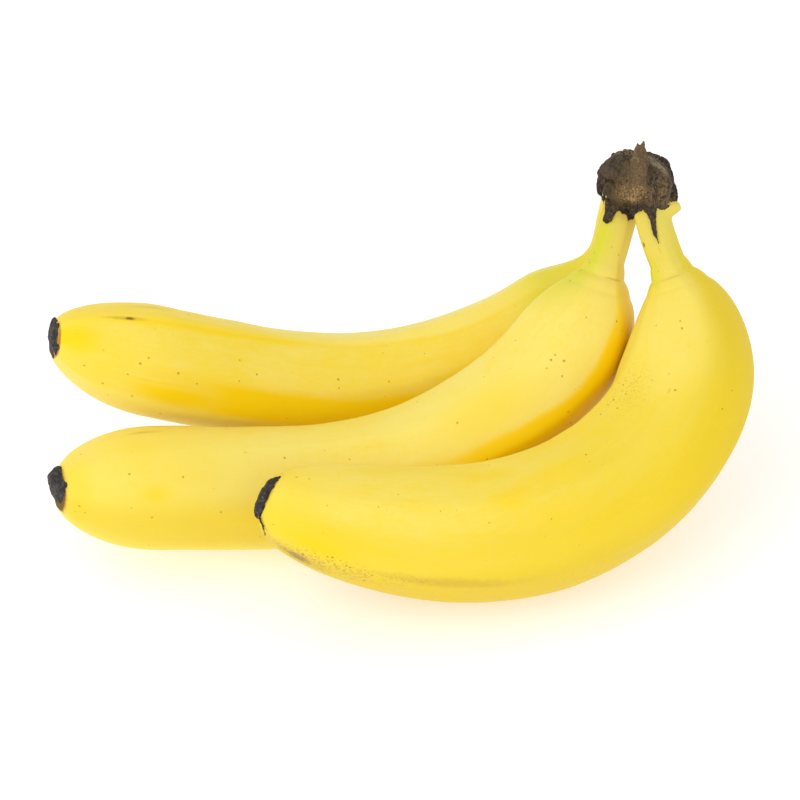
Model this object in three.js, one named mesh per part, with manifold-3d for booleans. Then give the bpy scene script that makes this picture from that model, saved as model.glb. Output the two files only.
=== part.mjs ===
/**
 * A bunch of three ripe bananas, lying on a table on the outer curves of the fruits.
 *
 * Millimetres, +Z up, table at z = 0. The fruits run to -X, the crown is at +X, and -Y is the side
 * that the front fruit faces. Each fruit is a ridged section swept along a curved spine. The crown
 * is the dark pad that the three stalks grow from, and each fruit ends in its dried blossom.
 */
import * as THREE from 'three';
import { mergeVertices } from 'three/addons/utils/BufferGeometryUtils.js';
import Module from 'manifold-3d';

const wasm = await Module();
wasm.setup();

const DEGREE = Math.PI / 180;

// ---------- driving dimensions, in millimetres and degrees ----------

const GAP = 0.3; // clearance between pieces that touch
const REST_CUT = 0.35; // how far a fruit is pressed flat where it rests on the table
const FRUIT_SIDES = 28; // points round a fruit
const SPINE_STEP = 0.005; // step of the walk along a spine, as a share of its length

// Shares of a spine's length at which its heading and the twist of its ridges are given.
const STATIONS = [0, 0.1, 0.22, 0.4, 0.68, 1];

const RIDGE_STRENGTH = 0.42; // 0 is a round fruit, 1 a sharp-edged prism
const RIDGE_ROUNDING = 11; // degrees over which a ridge is rounded
const SWELL_EASING = 0.02; // share of the length over which the foot of the swell is eased
const TIP_FULLNESS = 2.1; // shape of the taper to the blossom end
const TIP_BLUNTNESS = 1.9;
const ROOT_SINK = 3.5; // how far a stalk runs on into the crown
const ROOT_TAPER = 0.62; // its width there, as a share of the stalk's

// start:    where the stalk leaves the crown
// lean:     tilt of the fruit's plane towards -Y at its foot; yaw turns the plane about the vertical
// headings: direction of the spine at each station, from straight down (0) to level (90) and up
// bow:      sideways sweep out of the fruit's plane
// stalk, belly, end: radii; swell: stretch where the stalk widens; taper: where the end begins
// ridges:   angle of each ridge round the fruit, from its inner side towards the viewer's side
const FRUITS = {
  back: {
    start: [62.3, 29.2, 73.4],
    lean: -12,
    yaw: -17.5,
    bow: 6,
    length: 207,
    headings: [13, 6.5, 52.9, 84.9, 115.8, 125.3],
    stalk: 5.1,
    belly: 17.1,
    end: 6.4,
    swell: [0.1, 0.26],
    swellPower: 0.85,
    taper: 0.84,
    ridges: [6, 58, 100, 166, 260],
    ridgeReach: [1.06, 1.06, 1.03, 1.05, 1.06],
    twist: [-34, -34, -22, -17, -7, 2],
  },
  middle: {
    start: [61.3, 18.5, 75.3],
    lean: 34.8,
    yaw: -9,
    bow: -9.6,
    length: 193,
    headings: [11.7, 14.2, 37.5, 63.7, 82, 97.8],
    stalk: 5,
    belly: 18,
    end: 6.7,
    swell: [0.1, 0.27],
    swellPower: 0.35,
    taper: 0.76,
    ridges: [-14, 43, 98, 153, 206, 276],
    ridgeReach: [1.07, 1.01, 1.06, 1.02, 1.05, 1.05],
    twist: [5, 16, 25, 8, 0, 8],
  },
  front: {
    start: [66.3, 10.5, 83.3],
    lean: 53.9,
    yaw: -2.4,
    bow: -21.3,
    length: 185.6,
    headings: [-17, -26.3, -1.6, 39.7, 82.3, 106.5],
    stalk: 5,
    belly: 19.3,
    end: 6.6,
    swell: [0.12, 0.32],
    swellPower: 0.31,
    taper: 0.53,
    ridges: [8, 75, 143, 184, 226, 297],
    ridgeReach: [1.06, 1, 1.06, 1.02, 1.01, 1.04],
    twist: [10, 10, 24, 12, 0, 7],
  },
};

// Dried blossoms: length, radius, width as a share of height, count of ragged lobes, slope of the end.
const BLOSSOMS = {
  back: { length: 2.6, radius: 5.1, narrow: 0.72, lobes: 5, lean: 0.2 },
  middle: { length: 2.8, radius: 6.1, narrow: 0.85, lobes: 5, lean: -0.15 },
  front: { length: 2.6, radius: 5.6, narrow: 0.6, lobes: 5, lean: 0.25 },
};
const BLOSSOM_SIDES = 20;
const BLOSSOM_RAGGED = 0.06; // depth of the lobes, as a share of the radius
const BLOSSOM_PROFILE = [[0, 0.92], [0.25, 1.02], [0.6, 0.96], [0.9, 0.78], [1, 0.5], [0.8, 0.2]];

// Swelling beside the front stalk: place along the stalk, angle round it and distance out.
const BUMP = { share: 0.018, angle: 167, reach: 6.9, radius: 2.3 };

// The crown's pad: half sizes across the row of stalks, along it and up, and its ridges.
// levels: height and width, as shares of the half sizes, and sideways shift of each level
const CROWN = {
  centre: [64.5, 21.7, 81.9],
  halfWidth: 9.7,
  halfLength: 16,
  halfHeight: 7.7,
  ridges: [28, 72, 118, 165, 222, 268, 318],
  ridgeReach: [1.14, 0.97, 1.15, 1, 1.14, 0.98, 1.12],
  ridgeStrength: 0.8,
  levels: [
    [-0.95, 0.7, -0.5], [-0.8, 0.9, -0.5], [-0.45, 1, -0.5], [0, 1, -0.5],
    [0.3, 0.9, -0.6], [0.58, 0.73, -0.9], [0.76, 0.57, -1.1], [0.84, 0.3, -1.2],
  ],
};
const CROWN_SIDES = 36;

// Splinter: foot and tip across, along and up from the crown's centre, and its half sizes.
const SPLINTER = {
  foot: [3.8, 15.5, 0], tip: [1.1, 7.4, 10.8], width: 2.6, thickness: 1.5, taper: 0.8, sides: 8,
};

// Dry skirt round the stalks: its rim below the crown and its tongues, by angle round the stalk.
const SKIRT_RIM = 1;
const SKIRT_RINGS = 6;
const SKIRT_THICK = 1.1;
const SKIRT_THIN = 0.5;
const TONGUES = {
  back: [{ at: 0, width: 50, length: 2 }, { at: 200, width: 50, length: 3.5 }],
  middle: [{ at: 45, width: 26, length: 7 }, { at: 115, width: 26, length: 4 }],
  front: [
    { at: 64, width: 14, length: 11.5 }, { at: 84, width: 22, length: 5 },
    { at: 165, width: 50, length: 4 }, { at: 290, width: 50, length: 5 },
  ],
};

// ---------- small helpers ----------

const clamp01 = (value) => Math.min(Math.max(value, 0), 1);

function smoothStep(value) {
  const t = clamp01(value);
  return t * t * (3 - 2 * t);
}

/** Smooth curve through one value per station, read at share u of the length. */
function throughStations(values, u) {
  const last = STATIONS.length - 1;
  const slopes = values.map((value, i) => {
    const low = Math.max(i - 1, 0);
    const high = Math.min(i + 1, last);
    if (high - low < 2) return (values[high] - values[low]) / (STATIONS[high] - STATIONS[low]);
    const before = STATIONS[i] - STATIONS[low];
    const after = STATIONS[high] - STATIONS[i];
    const slopeBefore = (value - values[low]) / before;
    const slopeAfter = (values[high] - value) / after;
    return (slopeBefore * after + slopeAfter * before) / (before + after);
  });
  const span = Math.max(STATIONS.findLastIndex((station, i) => i < last && station <= u), 0);
  const width = STATIONS[span + 1] - STATIONS[span];
  const t = (u - STATIONS[span]) / width;
  return (2 * t ** 3 - 3 * t ** 2 + 1) * values[span]
    + (t ** 3 - 2 * t ** 2 + t) * width * slopes[span]
    + (3 * t ** 2 - 2 * t ** 3) * values[span + 1]
    + (t ** 3 - t ** 2) * width * slopes[span + 1];
}

function toManifold(geometry) {
  const bare = geometry.clone();
  bare.deleteAttribute('normal');
  bare.deleteAttribute('uv');
  const merged = mergeVertices(bare, 1e-5);
  return new wasm.Manifold(new wasm.Mesh({
    numProp: 3,
    vertProperties: new Float32Array(merged.attributes.position.array),
    triVerts: new Uint32Array(merged.index.array),
  }));
}

function toGeometry(solid) {
  const mesh = solid.getMesh();
  const geometry = new THREE.BufferGeometry();
  geometry.setAttribute('position', new THREE.BufferAttribute(new Float32Array(mesh.vertProperties), 3));
  geometry.setIndex(new THREE.BufferAttribute(new Uint32Array(mesh.triVerts), 1));
  return geometry;
}

/** Everything below the table, cut from each fruit to give it the flat that it rests on. */
const BELOW_TABLE = toManifold(new THREE.BoxGeometry(600, 600, 50).translate(0, 0, -25));

/** Closed skin over a stack of rings with equally many points, capped at both ends. */
function loft(rings) {
  const sides = rings[0].length;
  const centre = (ring) => ring.reduce((sum, p) => sum.add(p), new THREE.Vector3()).divideScalar(sides);
  const points = rings.flat();
  const first = points.push(centre(rings[0])) - 1;
  const last = points.push(centre(rings[rings.length - 1])) - 1;
  const triangles = [];
  for (let side = 0; side < sides; side += 1) {
    const next = (side + 1) % sides;
    const end = (rings.length - 1) * sides;
    triangles.push(first, next, side, last, end + side, end + next);
    for (let ring = 0; ring < end; ring += sides) {
      triangles.push(ring + side, ring + next, ring + sides + next);
      triangles.push(ring + side, ring + sides + next, ring + sides + side);
    }
  }
  const geometry = new THREE.BufferGeometry().setFromPoints(points);
  geometry.setIndex(triangles);
  return geometry;
}

// ---------- the fruits ----------

/** Directions that a fruit's plane is drawn in: down, left and out of the plane. */
function planeOf(fruit) {
  const lean = fruit.lean * DEGREE;
  const yaw = fruit.yaw * DEGREE;
  const down = new THREE.Vector3(0, -Math.sin(lean), -Math.cos(lean));
  const left = new THREE.Vector3(
    -Math.cos(yaw),
    Math.sin(yaw) * Math.cos(lean),
    -Math.sin(yaw) * Math.sin(lean),
  );
  return { down, left, out: new THREE.Vector3().crossVectors(down, left) };
}

/** Where the spine heads at share u, and the direction of the fruit's hollow side there. */
function courseAt(fruit, plane, u) {
  const heading = throughStations(fruit.headings, u) * DEGREE;
  const aside = fruit.bow * (2 * u - 1) * DEGREE;
  const along = new THREE.Vector3()
    .addScaledVector(plane.down, Math.cos(heading) * Math.cos(aside))
    .addScaledVector(plane.left, Math.sin(heading) * Math.cos(aside))
    .addScaledVector(plane.out, Math.sin(aside));
  const inner = new THREE.Vector3()
    .addScaledVector(plane.down, -Math.sin(heading))
    .addScaledVector(plane.left, Math.cos(heading));
  return { along, inner, viewer: new THREE.Vector3().crossVectors(inner, along) };
}

/** Place on the spine at share u, with its directions. Below 0 it runs straight into the crown. */
function spineAt(fruit, u) {
  const plane = planeOf(fruit);
  const at = new THREE.Vector3(...fruit.start);
  if (u <= 0) {
    const course = courseAt(fruit, plane, 0);
    return { at: at.addScaledVector(course.along, u * fruit.length), ...course };
  }
  const steps = Math.ceil(u / SPINE_STEP);
  for (let step = 0; step < steps; step += 1) {
    const middle = (u * (step + 0.5)) / steps;
    at.addScaledVector(courseAt(fruit, plane, middle).along, (fruit.length * u) / steps);
  }
  return { at, ...courseAt(fruit, plane, u) };
}

/** Radius where the stalk widens to the belly, with a sharp foot. */
function swellAt(fruit, u) {
  const swelling = smoothStep((u - fruit.swell[0]) / (fruit.swell[1] - fruit.swell[0]));
  return fruit.stalk + (fruit.belly - fruit.stalk) * swelling ** fruit.swellPower;
}

/** Mean radius of the fruit at share u: stalk, swell, belly and the taper to the blossom end. */
function radiusAt(fruit, u) {
  const rootShare = ROOT_SINK / fruit.length;
  if (u < 0) return fruit.stalk * (1 + ((1 - ROOT_TAPER) * u) / rootShare);
  if (u > fruit.taper) {
    const run = clamp01((u - fruit.taper) / (1 - fruit.taper));
    return fruit.end + (fruit.belly - fruit.end) * (1 - run ** TIP_FULLNESS) ** (1 / TIP_BLUNTNESS);
  }
  const [before, here, after] = [-SWELL_EASING, 0, SWELL_EASING].map((step) => swellAt(fruit, u + step));
  return (before + 2 * here + after) / 4;
}

/** Reach of a section whose corners stand at the ridge angles, softened towards a circle. */
function ridgedSection(ridges, reaches, angle, strength) {
  const count = ridges.length;
  const wrap = (degrees) => ((degrees % 360) + 360) % 360;
  const widths = ridges.map((ridge, i) => wrap(ridges[(i + 1) % count] - ridge));
  const span = ridges.findIndex((ridge, i) => wrap(angle - ridge) < widths[i]);
  const past = wrap(angle - ridges[span]);
  const reach = reaches[span];
  const nextReach = reaches[(span + 1) % count];
  const flat = (reach * nextReach * Math.sin(widths[span] * DEGREE))
    / (reach * Math.sin(past * DEGREE) + nextReach * Math.sin((widths[span] - past) * DEGREE));
  return 1 + strength * (flat - 1);
}

/** The same section with its ridges rounded over. */
function roundedSection(ridges, reaches, angle, strength) {
  const weights = [0.15, 0.22, 0.26, 0.22, 0.15];
  return weights.reduce((sum, weight, i) => (
    sum + weight * ridgedSection(ridges, reaches, angle + (i / 2 - 1) * RIDGE_ROUNDING, strength)
  ), 0);
}

/** Angle of one point of a ring round a fruit. The points run backwards so that the skin faces out. */
const angleOf = (side, sides) => (-360 * side) / sides;

/** One ring of the fruit's skin at share u, swollen or shrunk by an offset. */
function ringAt(fruit, u, offset = 0) {
  const place = spineAt(fruit, u);
  const twist = throughStations(fruit.twist, clamp01(u));
  const radius = radiusAt(fruit, u);
  return Array.from({ length: FRUIT_SIDES }, (_, side) => {
    const angle = angleOf(side, FRUIT_SIDES);
    const section = roundedSection(fruit.ridges, fruit.ridgeReach, angle - twist, RIDGE_STRENGTH);
    const reach = radius * section + offset;
    return place.at.clone()
      .addScaledVector(place.inner, reach * Math.cos(angle * DEGREE))
      .addScaledVector(place.viewer, reach * Math.sin(angle * DEGREE));
  });
}

/** Shares of the length at which rings stand: closer at the swell and at the blossom end. */
function ringShares(fruit, offset = 0) {
  const shares = [-(ROOT_SINK + offset) / fruit.length, -ROOT_SINK / fruit.length / 2];
  for (let i = 0; i < 4; i += 1) shares.push((fruit.swell[0] * i) / 4);
  for (let i = 0; i < 14; i += 1) {
    shares.push(fruit.swell[0] + (fruit.swell[1] - fruit.swell[0]) * (i / 14) ** 1.4);
  }
  const tipStart = 0.84;
  for (let i = 0; i < 17; i += 1) shares.push(fruit.swell[1] + ((tipStart - fruit.swell[1]) * i) / 17);
  for (let i = 0; i <= 12; i += 1) {
    shares.push(tipStart + (1 - tipStart) * Math.sin((i / 12) * 90 * DEGREE));
  }
  return shares;
}

/** The fruit as a solid, without the flat that it rests on. */
function sweepFruit(fruit, offset = 0) {
  return toManifold(loft(ringShares(fruit, offset).map((u) => ringAt(fruit, u, offset))));
}

/** Small green-yellow swelling beside the front stalk, where a neighbour was parted from it. */
function stalkBump(offset = 0) {
  const ball = new THREE.SphereGeometry(BUMP.radius + offset, 12, 8);
  const place = spineAt(FRUITS.front, BUMP.share);
  const centre = place.at
    .addScaledVector(place.inner, BUMP.reach * Math.cos(BUMP.angle * DEGREE))
    .addScaledVector(place.viewer, BUMP.reach * Math.sin(BUMP.angle * DEGREE));
  return toManifold(ball.translate(centre.x, centre.y, centre.z));
}

/** Lowers a fruit by its start until its belly sinks into the table by the depth of its flat. */
function settle(fruit) {
  const heights = ringShares(fruit).flatMap((u) => ringAt(fruit, u).map((point) => point.z));
  fruit.start[2] -= Math.min(...heights) + REST_CUT;
}

function buildFruit(name) {
  const swept = sweepFruit(FRUITS[name]);
  const whole = name === 'front' ? swept.add(stalkBump()) : swept;
  return toGeometry(whole.subtract(BELOW_TABLE));
}

// ---------- the dried blossoms ----------

/** Dark stub of the dried blossom: a short lobed button that stands off the fruit's blunt end. */
function buildBlossom(name) {
  const { length, radius, narrow, lobes, lean } = BLOSSOMS[name];
  const place = spineAt(FRUITS[name], 1);
  const rings = BLOSSOM_PROFILE.map(([share, width]) => (
    Array.from({ length: BLOSSOM_SIDES }, (_, side) => {
      const angle = angleOf(side, BLOSSOM_SIDES);
      const ragged = 1 + BLOSSOM_RAGGED * Math.cos(lobes * angle * DEGREE + share * 2);
      const reach = radius * width * ragged;
      const tilt = 1 + lean * share * Math.cos(angle * DEGREE);
      return place.at.clone()
        .addScaledVector(place.along, GAP + share * length * tilt)
        .addScaledVector(place.inner, reach * Math.cos(angle * DEGREE))
        .addScaledVector(place.viewer, narrow * reach * Math.sin(angle * DEGREE));
    })
  ));
  return loft(rings);
}

// ---------- the crown ----------

/** Directions of the crown: along its row of stalks to the front, up and away, and across. */
function crownFrame() {
  const row = new THREE.Vector3(...FRUITS.front.start)
    .sub(new THREE.Vector3(...FRUITS.back.start)).normalize();
  const up = new THREE.Vector3();
  for (const fruit of Object.values(FRUITS)) up.sub(spineAt(fruit, 0).along);
  up.addScaledVector(row, -up.dot(row)).normalize();
  return { row, up, across: new THREE.Vector3().crossVectors(up, row).negate() };
}

function crownPoint(frame, across, row, up) {
  return new THREE.Vector3(...CROWN.centre)
    .addScaledVector(frame.across, across)
    .addScaledVector(frame.row, row)
    .addScaledVector(frame.up, up);
}

/** Body of the crown: a low lopsided dome with worn ridges down its sides. */
function crownPad(frame) {
  const rings = CROWN.levels.map(([height, width, shift]) => (
    Array.from({ length: CROWN_SIDES }, (_, side) => {
      const angle = (360 * side) / CROWN_SIDES;
      const ridged = roundedSection(CROWN.ridges, CROWN.ridgeReach, angle, CROWN.ridgeStrength);
      const section = width * ridged;
      return crownPoint(
        frame,
        shift + CROWN.halfWidth * section * Math.cos(angle * DEGREE),
        CROWN.halfLength * section * Math.sin(angle * DEGREE),
        CROWN.halfHeight * height,
      );
    })
  ));
  return toManifold(loft(rings));
}

/** Splinter that runs up the crown's front and stands above it, where the bunch was cut. */
function crownSplinter(frame) {
  const { foot, tip, width, thickness } = SPLINTER;
  const rings = [0, 0.5, 0.85, 1].map((share) => (
    Array.from({ length: SPLINTER.sides }, (_, side) => {
      const angle = (2 * Math.PI * side) / SPLINTER.sides;
      const size = 1 - SPLINTER.taper * share;
      const [across, row, up] = foot.map((value, i) => value + (tip[i] - value) * share);
      return crownPoint(
        frame,
        across + width * size * Math.cos(angle),
        row + thickness * size * Math.sin(angle),
        up,
      );
    })
  ));
  return toManifold(loft(rings));
}

/** How far down a stalk the dry skirt reaches at an angle: a low rim and pointed tongues. */
function skirtReach(tongues, angle) {
  return tongues.reduce((reach, { at, width, length }) => {
    const off = Math.abs((((angle - at) % 360) + 540) % 360 - 180) / width;
    return Math.max(reach, length * (1 - off));
  }, SKIRT_RIM);
}

/** Dry skirt of the crown round one stalk, still solid inside. */
function stalkSkirt(name) {
  const fruit = FRUITS[name];
  const top = -ROOT_SINK / 2;
  const rings = Array.from({ length: SKIRT_RINGS + 1 }, (_, ring) => (
    Array.from({ length: FRUIT_SIDES }, (_unused, side) => {
      const angle = angleOf(side, FRUIT_SIDES);
      const bottom = skirtReach(TONGUES[name], angle);
      const share = ring / SKIRT_RINGS;
      const u = (top + (bottom - top) * share) / fruit.length;
      const thickness = SKIRT_THICK + (SKIRT_THIN - SKIRT_THICK) * share;
      return ringAt(fruit, u, GAP + thickness)[side];
    })
  ));
  return toManifold(loft(rings));
}

function buildCrown() {
  const frame = crownFrame();
  let solid = crownPad(frame).add(crownSplinter(frame));
  for (const name of Object.keys(FRUITS)) solid = solid.add(stalkSkirt(name));
  for (const fruit of Object.values(FRUITS)) solid = solid.subtract(sweepFruit(fruit, GAP));
  solid = solid.subtract(stalkBump(GAP));
  const pieces = solid.decompose();
  pieces.sort((one, other) => other.volume() - one.volume());
  return toGeometry(pieces[0]);
}

// ---------- the bunch ----------

const SKIN = { color: 0xf3d53a, roughness: 0.45, metalness: 0 };
const DRIED = { color: 0x4a3a2a, roughness: 0.9, metalness: 0 };
const CHARRED = { color: 0x2b2722, roughness: 0.95, metalness: 0 };

function addPiece(group, name, geometry, look) {
  const mesh = new THREE.Mesh(geometry, new THREE.MeshStandardMaterial(look));
  mesh.name = name;
  group.add(mesh);
}

/** Moves every piece so that the bunch stands centred on the origin. */
function standOnOrigin(group) {
  const box = new THREE.Box3().setFromObject(group);
  const middle = box.getCenter(new THREE.Vector3());
  for (const piece of group.children) piece.geometry.translate(-middle.x, -middle.y, -box.min.z);
}

const bunch = new THREE.Group();
Object.values(FRUITS).forEach(settle);
for (const name of Object.keys(FRUITS)) {
  addPiece(bunch, `banana_${name}`, buildFruit(name), SKIN);
  addPiece(bunch, `blossom_tip_${name}`, buildBlossom(name), CHARRED);
}
addPiece(bunch, 'crown', buildCrown(), DRIED);
standOnOrigin(bunch);

export default bunch;
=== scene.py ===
"""A bunch of ripe bananas: the finished pieces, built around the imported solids.

Metres, +Z up, the surface at z = 0. Every fruit is a ridged section swept along a bent spine by a
Geometry Nodes tree. The crown is one fused mesh of pad, keel, prongs, rims and skirts with a fibre
relief, and each fruit ends in a charred blossom stub. All the pieces ride on the one body, "root".
"""

import math

import bpy
import numpy as np
from bpy.props import FloatProperty, FloatVectorProperty, IntProperty, PointerProperty
from bpy.types import Operator, Panel, PropertyGroup
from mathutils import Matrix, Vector


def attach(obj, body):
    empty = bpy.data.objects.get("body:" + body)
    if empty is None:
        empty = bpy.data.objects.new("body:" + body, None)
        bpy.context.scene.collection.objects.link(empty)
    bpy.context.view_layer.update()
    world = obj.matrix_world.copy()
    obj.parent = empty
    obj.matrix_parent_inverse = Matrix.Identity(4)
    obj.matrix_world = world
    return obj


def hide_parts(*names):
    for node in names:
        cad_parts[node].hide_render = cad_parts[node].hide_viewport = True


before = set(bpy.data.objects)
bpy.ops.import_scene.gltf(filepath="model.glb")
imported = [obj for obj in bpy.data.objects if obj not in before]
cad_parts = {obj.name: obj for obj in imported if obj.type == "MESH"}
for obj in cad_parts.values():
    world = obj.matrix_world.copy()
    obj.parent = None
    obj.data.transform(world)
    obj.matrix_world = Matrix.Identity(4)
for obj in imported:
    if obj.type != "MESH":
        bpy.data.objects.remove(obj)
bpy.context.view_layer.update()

bl_info = {
    "name": "Bunch of Bananas",
    "version": (1, 0, 0),
    "blender": (4, 5, 0),
    "location": "View3D > Sidebar > Bananas",
    "description": "Builds the fruits, crown and blossom stubs of a ripe bunch, and its stage",
    "category": "Add Mesh",
}

MM = 0.001
DEGREE = math.pi / 180
BODY = "root"

# Stage, in metres and degrees: the camera's place, tilt, lens and sensor, the softboxes and the floor.
CAMERA = {"place": (-0.00013, -0.444612, 0.405673), "tilt": 50, "lens": 93.96, "sensor": 36.0}
SOFTBOXES = {"key": (-0.5, -0.3, 0.75), "fill": (0.3, -0.9, 0.5)}
SOFTBOX_TARGET = (0.0, 0.0, 0.03)
SOFTBOX_SIZE = 0.8
FLOOR_HALF = 3.0

# ---------- the bunch's own sizes, in millimetres and degrees, close to the solids' ----------

STATIONS = (0, 0.1, 0.22, 0.4, 0.68, 1)
ROOT_SINK = 3.5
SWELL_EASING = 0.02

FRUITS = {
    "back": {
        "start": (62.3, 44.12, 73.11), "lean": -12, "yaw": -17.5, "bow": 6, "length": 208.3,
        "headings": (11.8, 8.4, 53.7, 84.3, 118.1, 120.6),
        "stalk": 4.75, "belly": 17.25, "end": 5.2, "swell": (0.105, 0.2455), "swell_power": 0.81,
        "taper": 0.852, "fullness": 1.96, "bluntness": 1.484,
        "ridges": (6, 58, 100, 166, 260), "reach": (1.06, 1.06, 1.03, 1.05, 1.06),
        "twist": (-34, -34, -22, -17, -7, 2), "crease": 0.1,
    },
    "middle": {
        "start": (61.32, 33.6, 73.9), "lean": 35.3, "yaw": -9.9, "bow": -8.8, "length": 195.6,
        "headings": (13.1, 15.8, 35.1, 58.8, 89.1, 91.1),
        "stalk": 5.04, "belly": 17.0, "end": 5.98, "swell": (0.099, 0.222), "swell_power": 0.31,
        "taper": 0.836, "fullness": 2.58, "bluntness": 1.4,
        "ridges": (-14, 43, 98, 153, 206, 276), "reach": (1.07, 1.01, 1.06, 1.02, 1.05, 1.05),
        "twist": (5, 16, 25, 8, 0, 8), "crease": 0.1,
    },
    "front": {
        "start": (67.69, 26.77, 81.39), "lean": 55, "yaw": -3.3, "bow": -20.4, "length": 184.5,
        "headings": (-11.8, -23.9, -0.9, 40.4, 82.3, 107.1),
        "stalk": 5.04, "belly": 19.34, "end": 5.71, "swell": (0.1166, 0.294), "swell_power": 0.33,
        "taper": 0.442, "fullness": 2.44, "bluntness": 2.25,
        "ridges": (8, 75, 143, 184, 226, 297), "reach": (1.06, 1, 1.06, 1.02, 1.12, 0.95),
        "twist": (10, 10, 24, 12, 0, 7), "crease": 0.115,
    },
}
MOST_FACETS = 6
RIDGE_STRENGTH = 0.42

# Swelling beside the front fruit's stalk: height in metres, angle round the stalk and share of the length.
EAR = {"height": 0.0032, "angle": 167, "place": 0.02}

# Slopes of each fruit's blossom end toward its hollow side and toward the viewer's side.
ENDS = {"back": (0.164, 0.0), "middle": (0.03, -0.13), "front": (-0.155, 0.33)}

# Dried blossoms: start and length along the spine, half height, half width, sideways shift and slope.
BLOSSOMS = {
    "back": {"start": -0.6, "length": 2.0, "tall": 4.8, "wide": 5.5, "shift": -0.1, "slope": 0.05},
    "middle": {"start": -1.1, "length": 3.3, "tall": 5.9, "wide": 5.4, "shift": 0.1, "slope": 0.12},
    "front": {"start": -0.3, "length": 3.4, "tall": 6.0, "wide": 5.0, "shift": -0.2, "slope": 0.0},
}
BLOSSOM_PROFILE = ((-0.1, 0.8), (0, 0.97), (0.3, 1.0), (0.55, 0.92), (0.8, 0.72), (0.96, 0.46), (1, 0.2), (0.98, 0.05))
BLOSSOM_CELL = 0.00022
# Hair that hangs from the front blossom: along the spine, to the hollow side and to the viewer's side.
HAIR = ((2.5, -4.9, 2.2), (2.2, -7.1, 4.5), (1.0, -8.5, 4.6), (-0.5, -10.2, 4.0))
HAIR_THICKNESS = 0.3

# The crown's pad: half sizes across the row of stalks, along it and up, and its worn ridges.
CROWN = {
    "centre": (64.37, 36.716, 81.9),
    "row": (0.19, -0.887, 0.42), "up": (0.029, 0.433, 0.901),
    "half_width": 9.7, "half_length": 16, "half_height": 7.7,
    "ridges": (28, 72, 118, 165, 222, 268, 318), "reach": (1.14, 0.97, 1.15, 1, 1.14, 0.98, 1.12),
    "levels": (
        (-0.95, 0.62, -0.8), (-0.8, 0.8, -0.8), (-0.45, 0.94, -0.7), (0, 1, -0.5),
        (0.3, 0.9, -0.6), (0.58, 0.73, -0.9), (0.76, 0.57, -1.1), (0.84, 0.3, -1.2),
    ),
}

# Keel of bare fibres down the crown's front and the prongs above it: across, along and up, and half width.
KEEL = ((4.6, 14.6, -3.6, 2.6), (3.7, 14.8, 0.3, 3.0), (2.4, 12.2, 5.2, 2.7), (1.3, 9.2, 7.8, 2.1))
PRONGS = (
    ((1.2, 9.2, 7.4, 1.7), (0.7, 8.2, 9.3, 1.1), (0.1, 7.4, 11.0, 0.28)),
    ((2.0, 9.2, 7.4, 1.3), (1.9, 8.2, 9.0, 0.9), (1.7, 7.4, 10.5, 0.28)),
)
# Raised rims of the crown: across, along and up.
RIMS = (
    ((2.6, 7, 7.7), (4.2, 6.6, 8.1), (5.6, 6.5, 7.5), (7.0, 6.5, 7.7), (8.2, 6.2, 6.2), (9.0, 6, 4.6)),
    (
        (-3.0, 13.0, -5.7), (-5.0, 12.8, -6.0), (-6.9, 12.0, -5.9), (-8.0, 11.0, -4.8), (-8.5, 10.2, -3.4),
        (-8.3, 8.6, -1.8), (-8.8, 6, 0), (-8.3, 6, 2.2), (-7.3, 6, 4.6), (-6.2, 6, 5.6), (-4.0, 6, 6.6),
    ),
    ((10.3, 7.5, 1.4), (11.2, 8, -0.6), (11.6, 8.5, -2.2), (11.3, 9, -3.8), (11.0, 9, -5.2)),
)
RIM_THICKNESS = (0.9, 1.5, 1.9)
SKIRT_THICK = 1.1
SKIRT_THIN = 0.5

# Lower edge of the dry skirt round each stalk: angle round it and reach down it.
SKIRT_EDGES = {
    "back": ((0, 2.0), (60, 1.2), (150, 1.4), (200, 3.5), (250, 1.2), (320, 1.0)),
    "middle": (
        (0, -1.2), (14, -1.2), (19, 0.6), (22, 3.0), (27, 4.4), (34, 4.9), (44, 4.9), (52, 4.4), (58, 3.0), (61, 0.8),
        (68, 0.4), (80, 0.4), (90, 0.9), (98, 1.8), (106, 2.9), (113, 2.2), (124, 1.5), (138, 1.0), (200, 1.6),
        (260, 2.6), (320, 1.0), (345, -1.0),
    ),
    "front": (
        (0, 3.6), (19, 3.0), (38, 2.3), (54, 2.1), (60, 3.0), (64, 4.6), (66.5, 7.0), (68, 10.5), (70, 12.9),
        (72, 12.7), (74, 10.0), (77, 8.0), (81, 6.0), (87, 4.6), (92, 3.4), (98, 2.2), (128, 2.6), (150, 3.6),
        (165, 3.0), (200, 2.0), (250, 3.6), (290, 5.0), (330, 2.0),
    ),
}

# ---------- properties ----------


def colour_property(name, description, default):
    return FloatVectorProperty(
        name=name, description=description, default=default,
        subtype="COLOR", size=3, min=0.0, max=1.0,
    )


def length_property(name, description, default, most, least=0.0):
    return FloatProperty(name=name, description=description, default=default, min=least, max=most, unit="LENGTH")


def power_property(name, description, default):
    return FloatProperty(name=name, description=description, default=default, min=0.0, max=50.0, unit="POWER")


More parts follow.
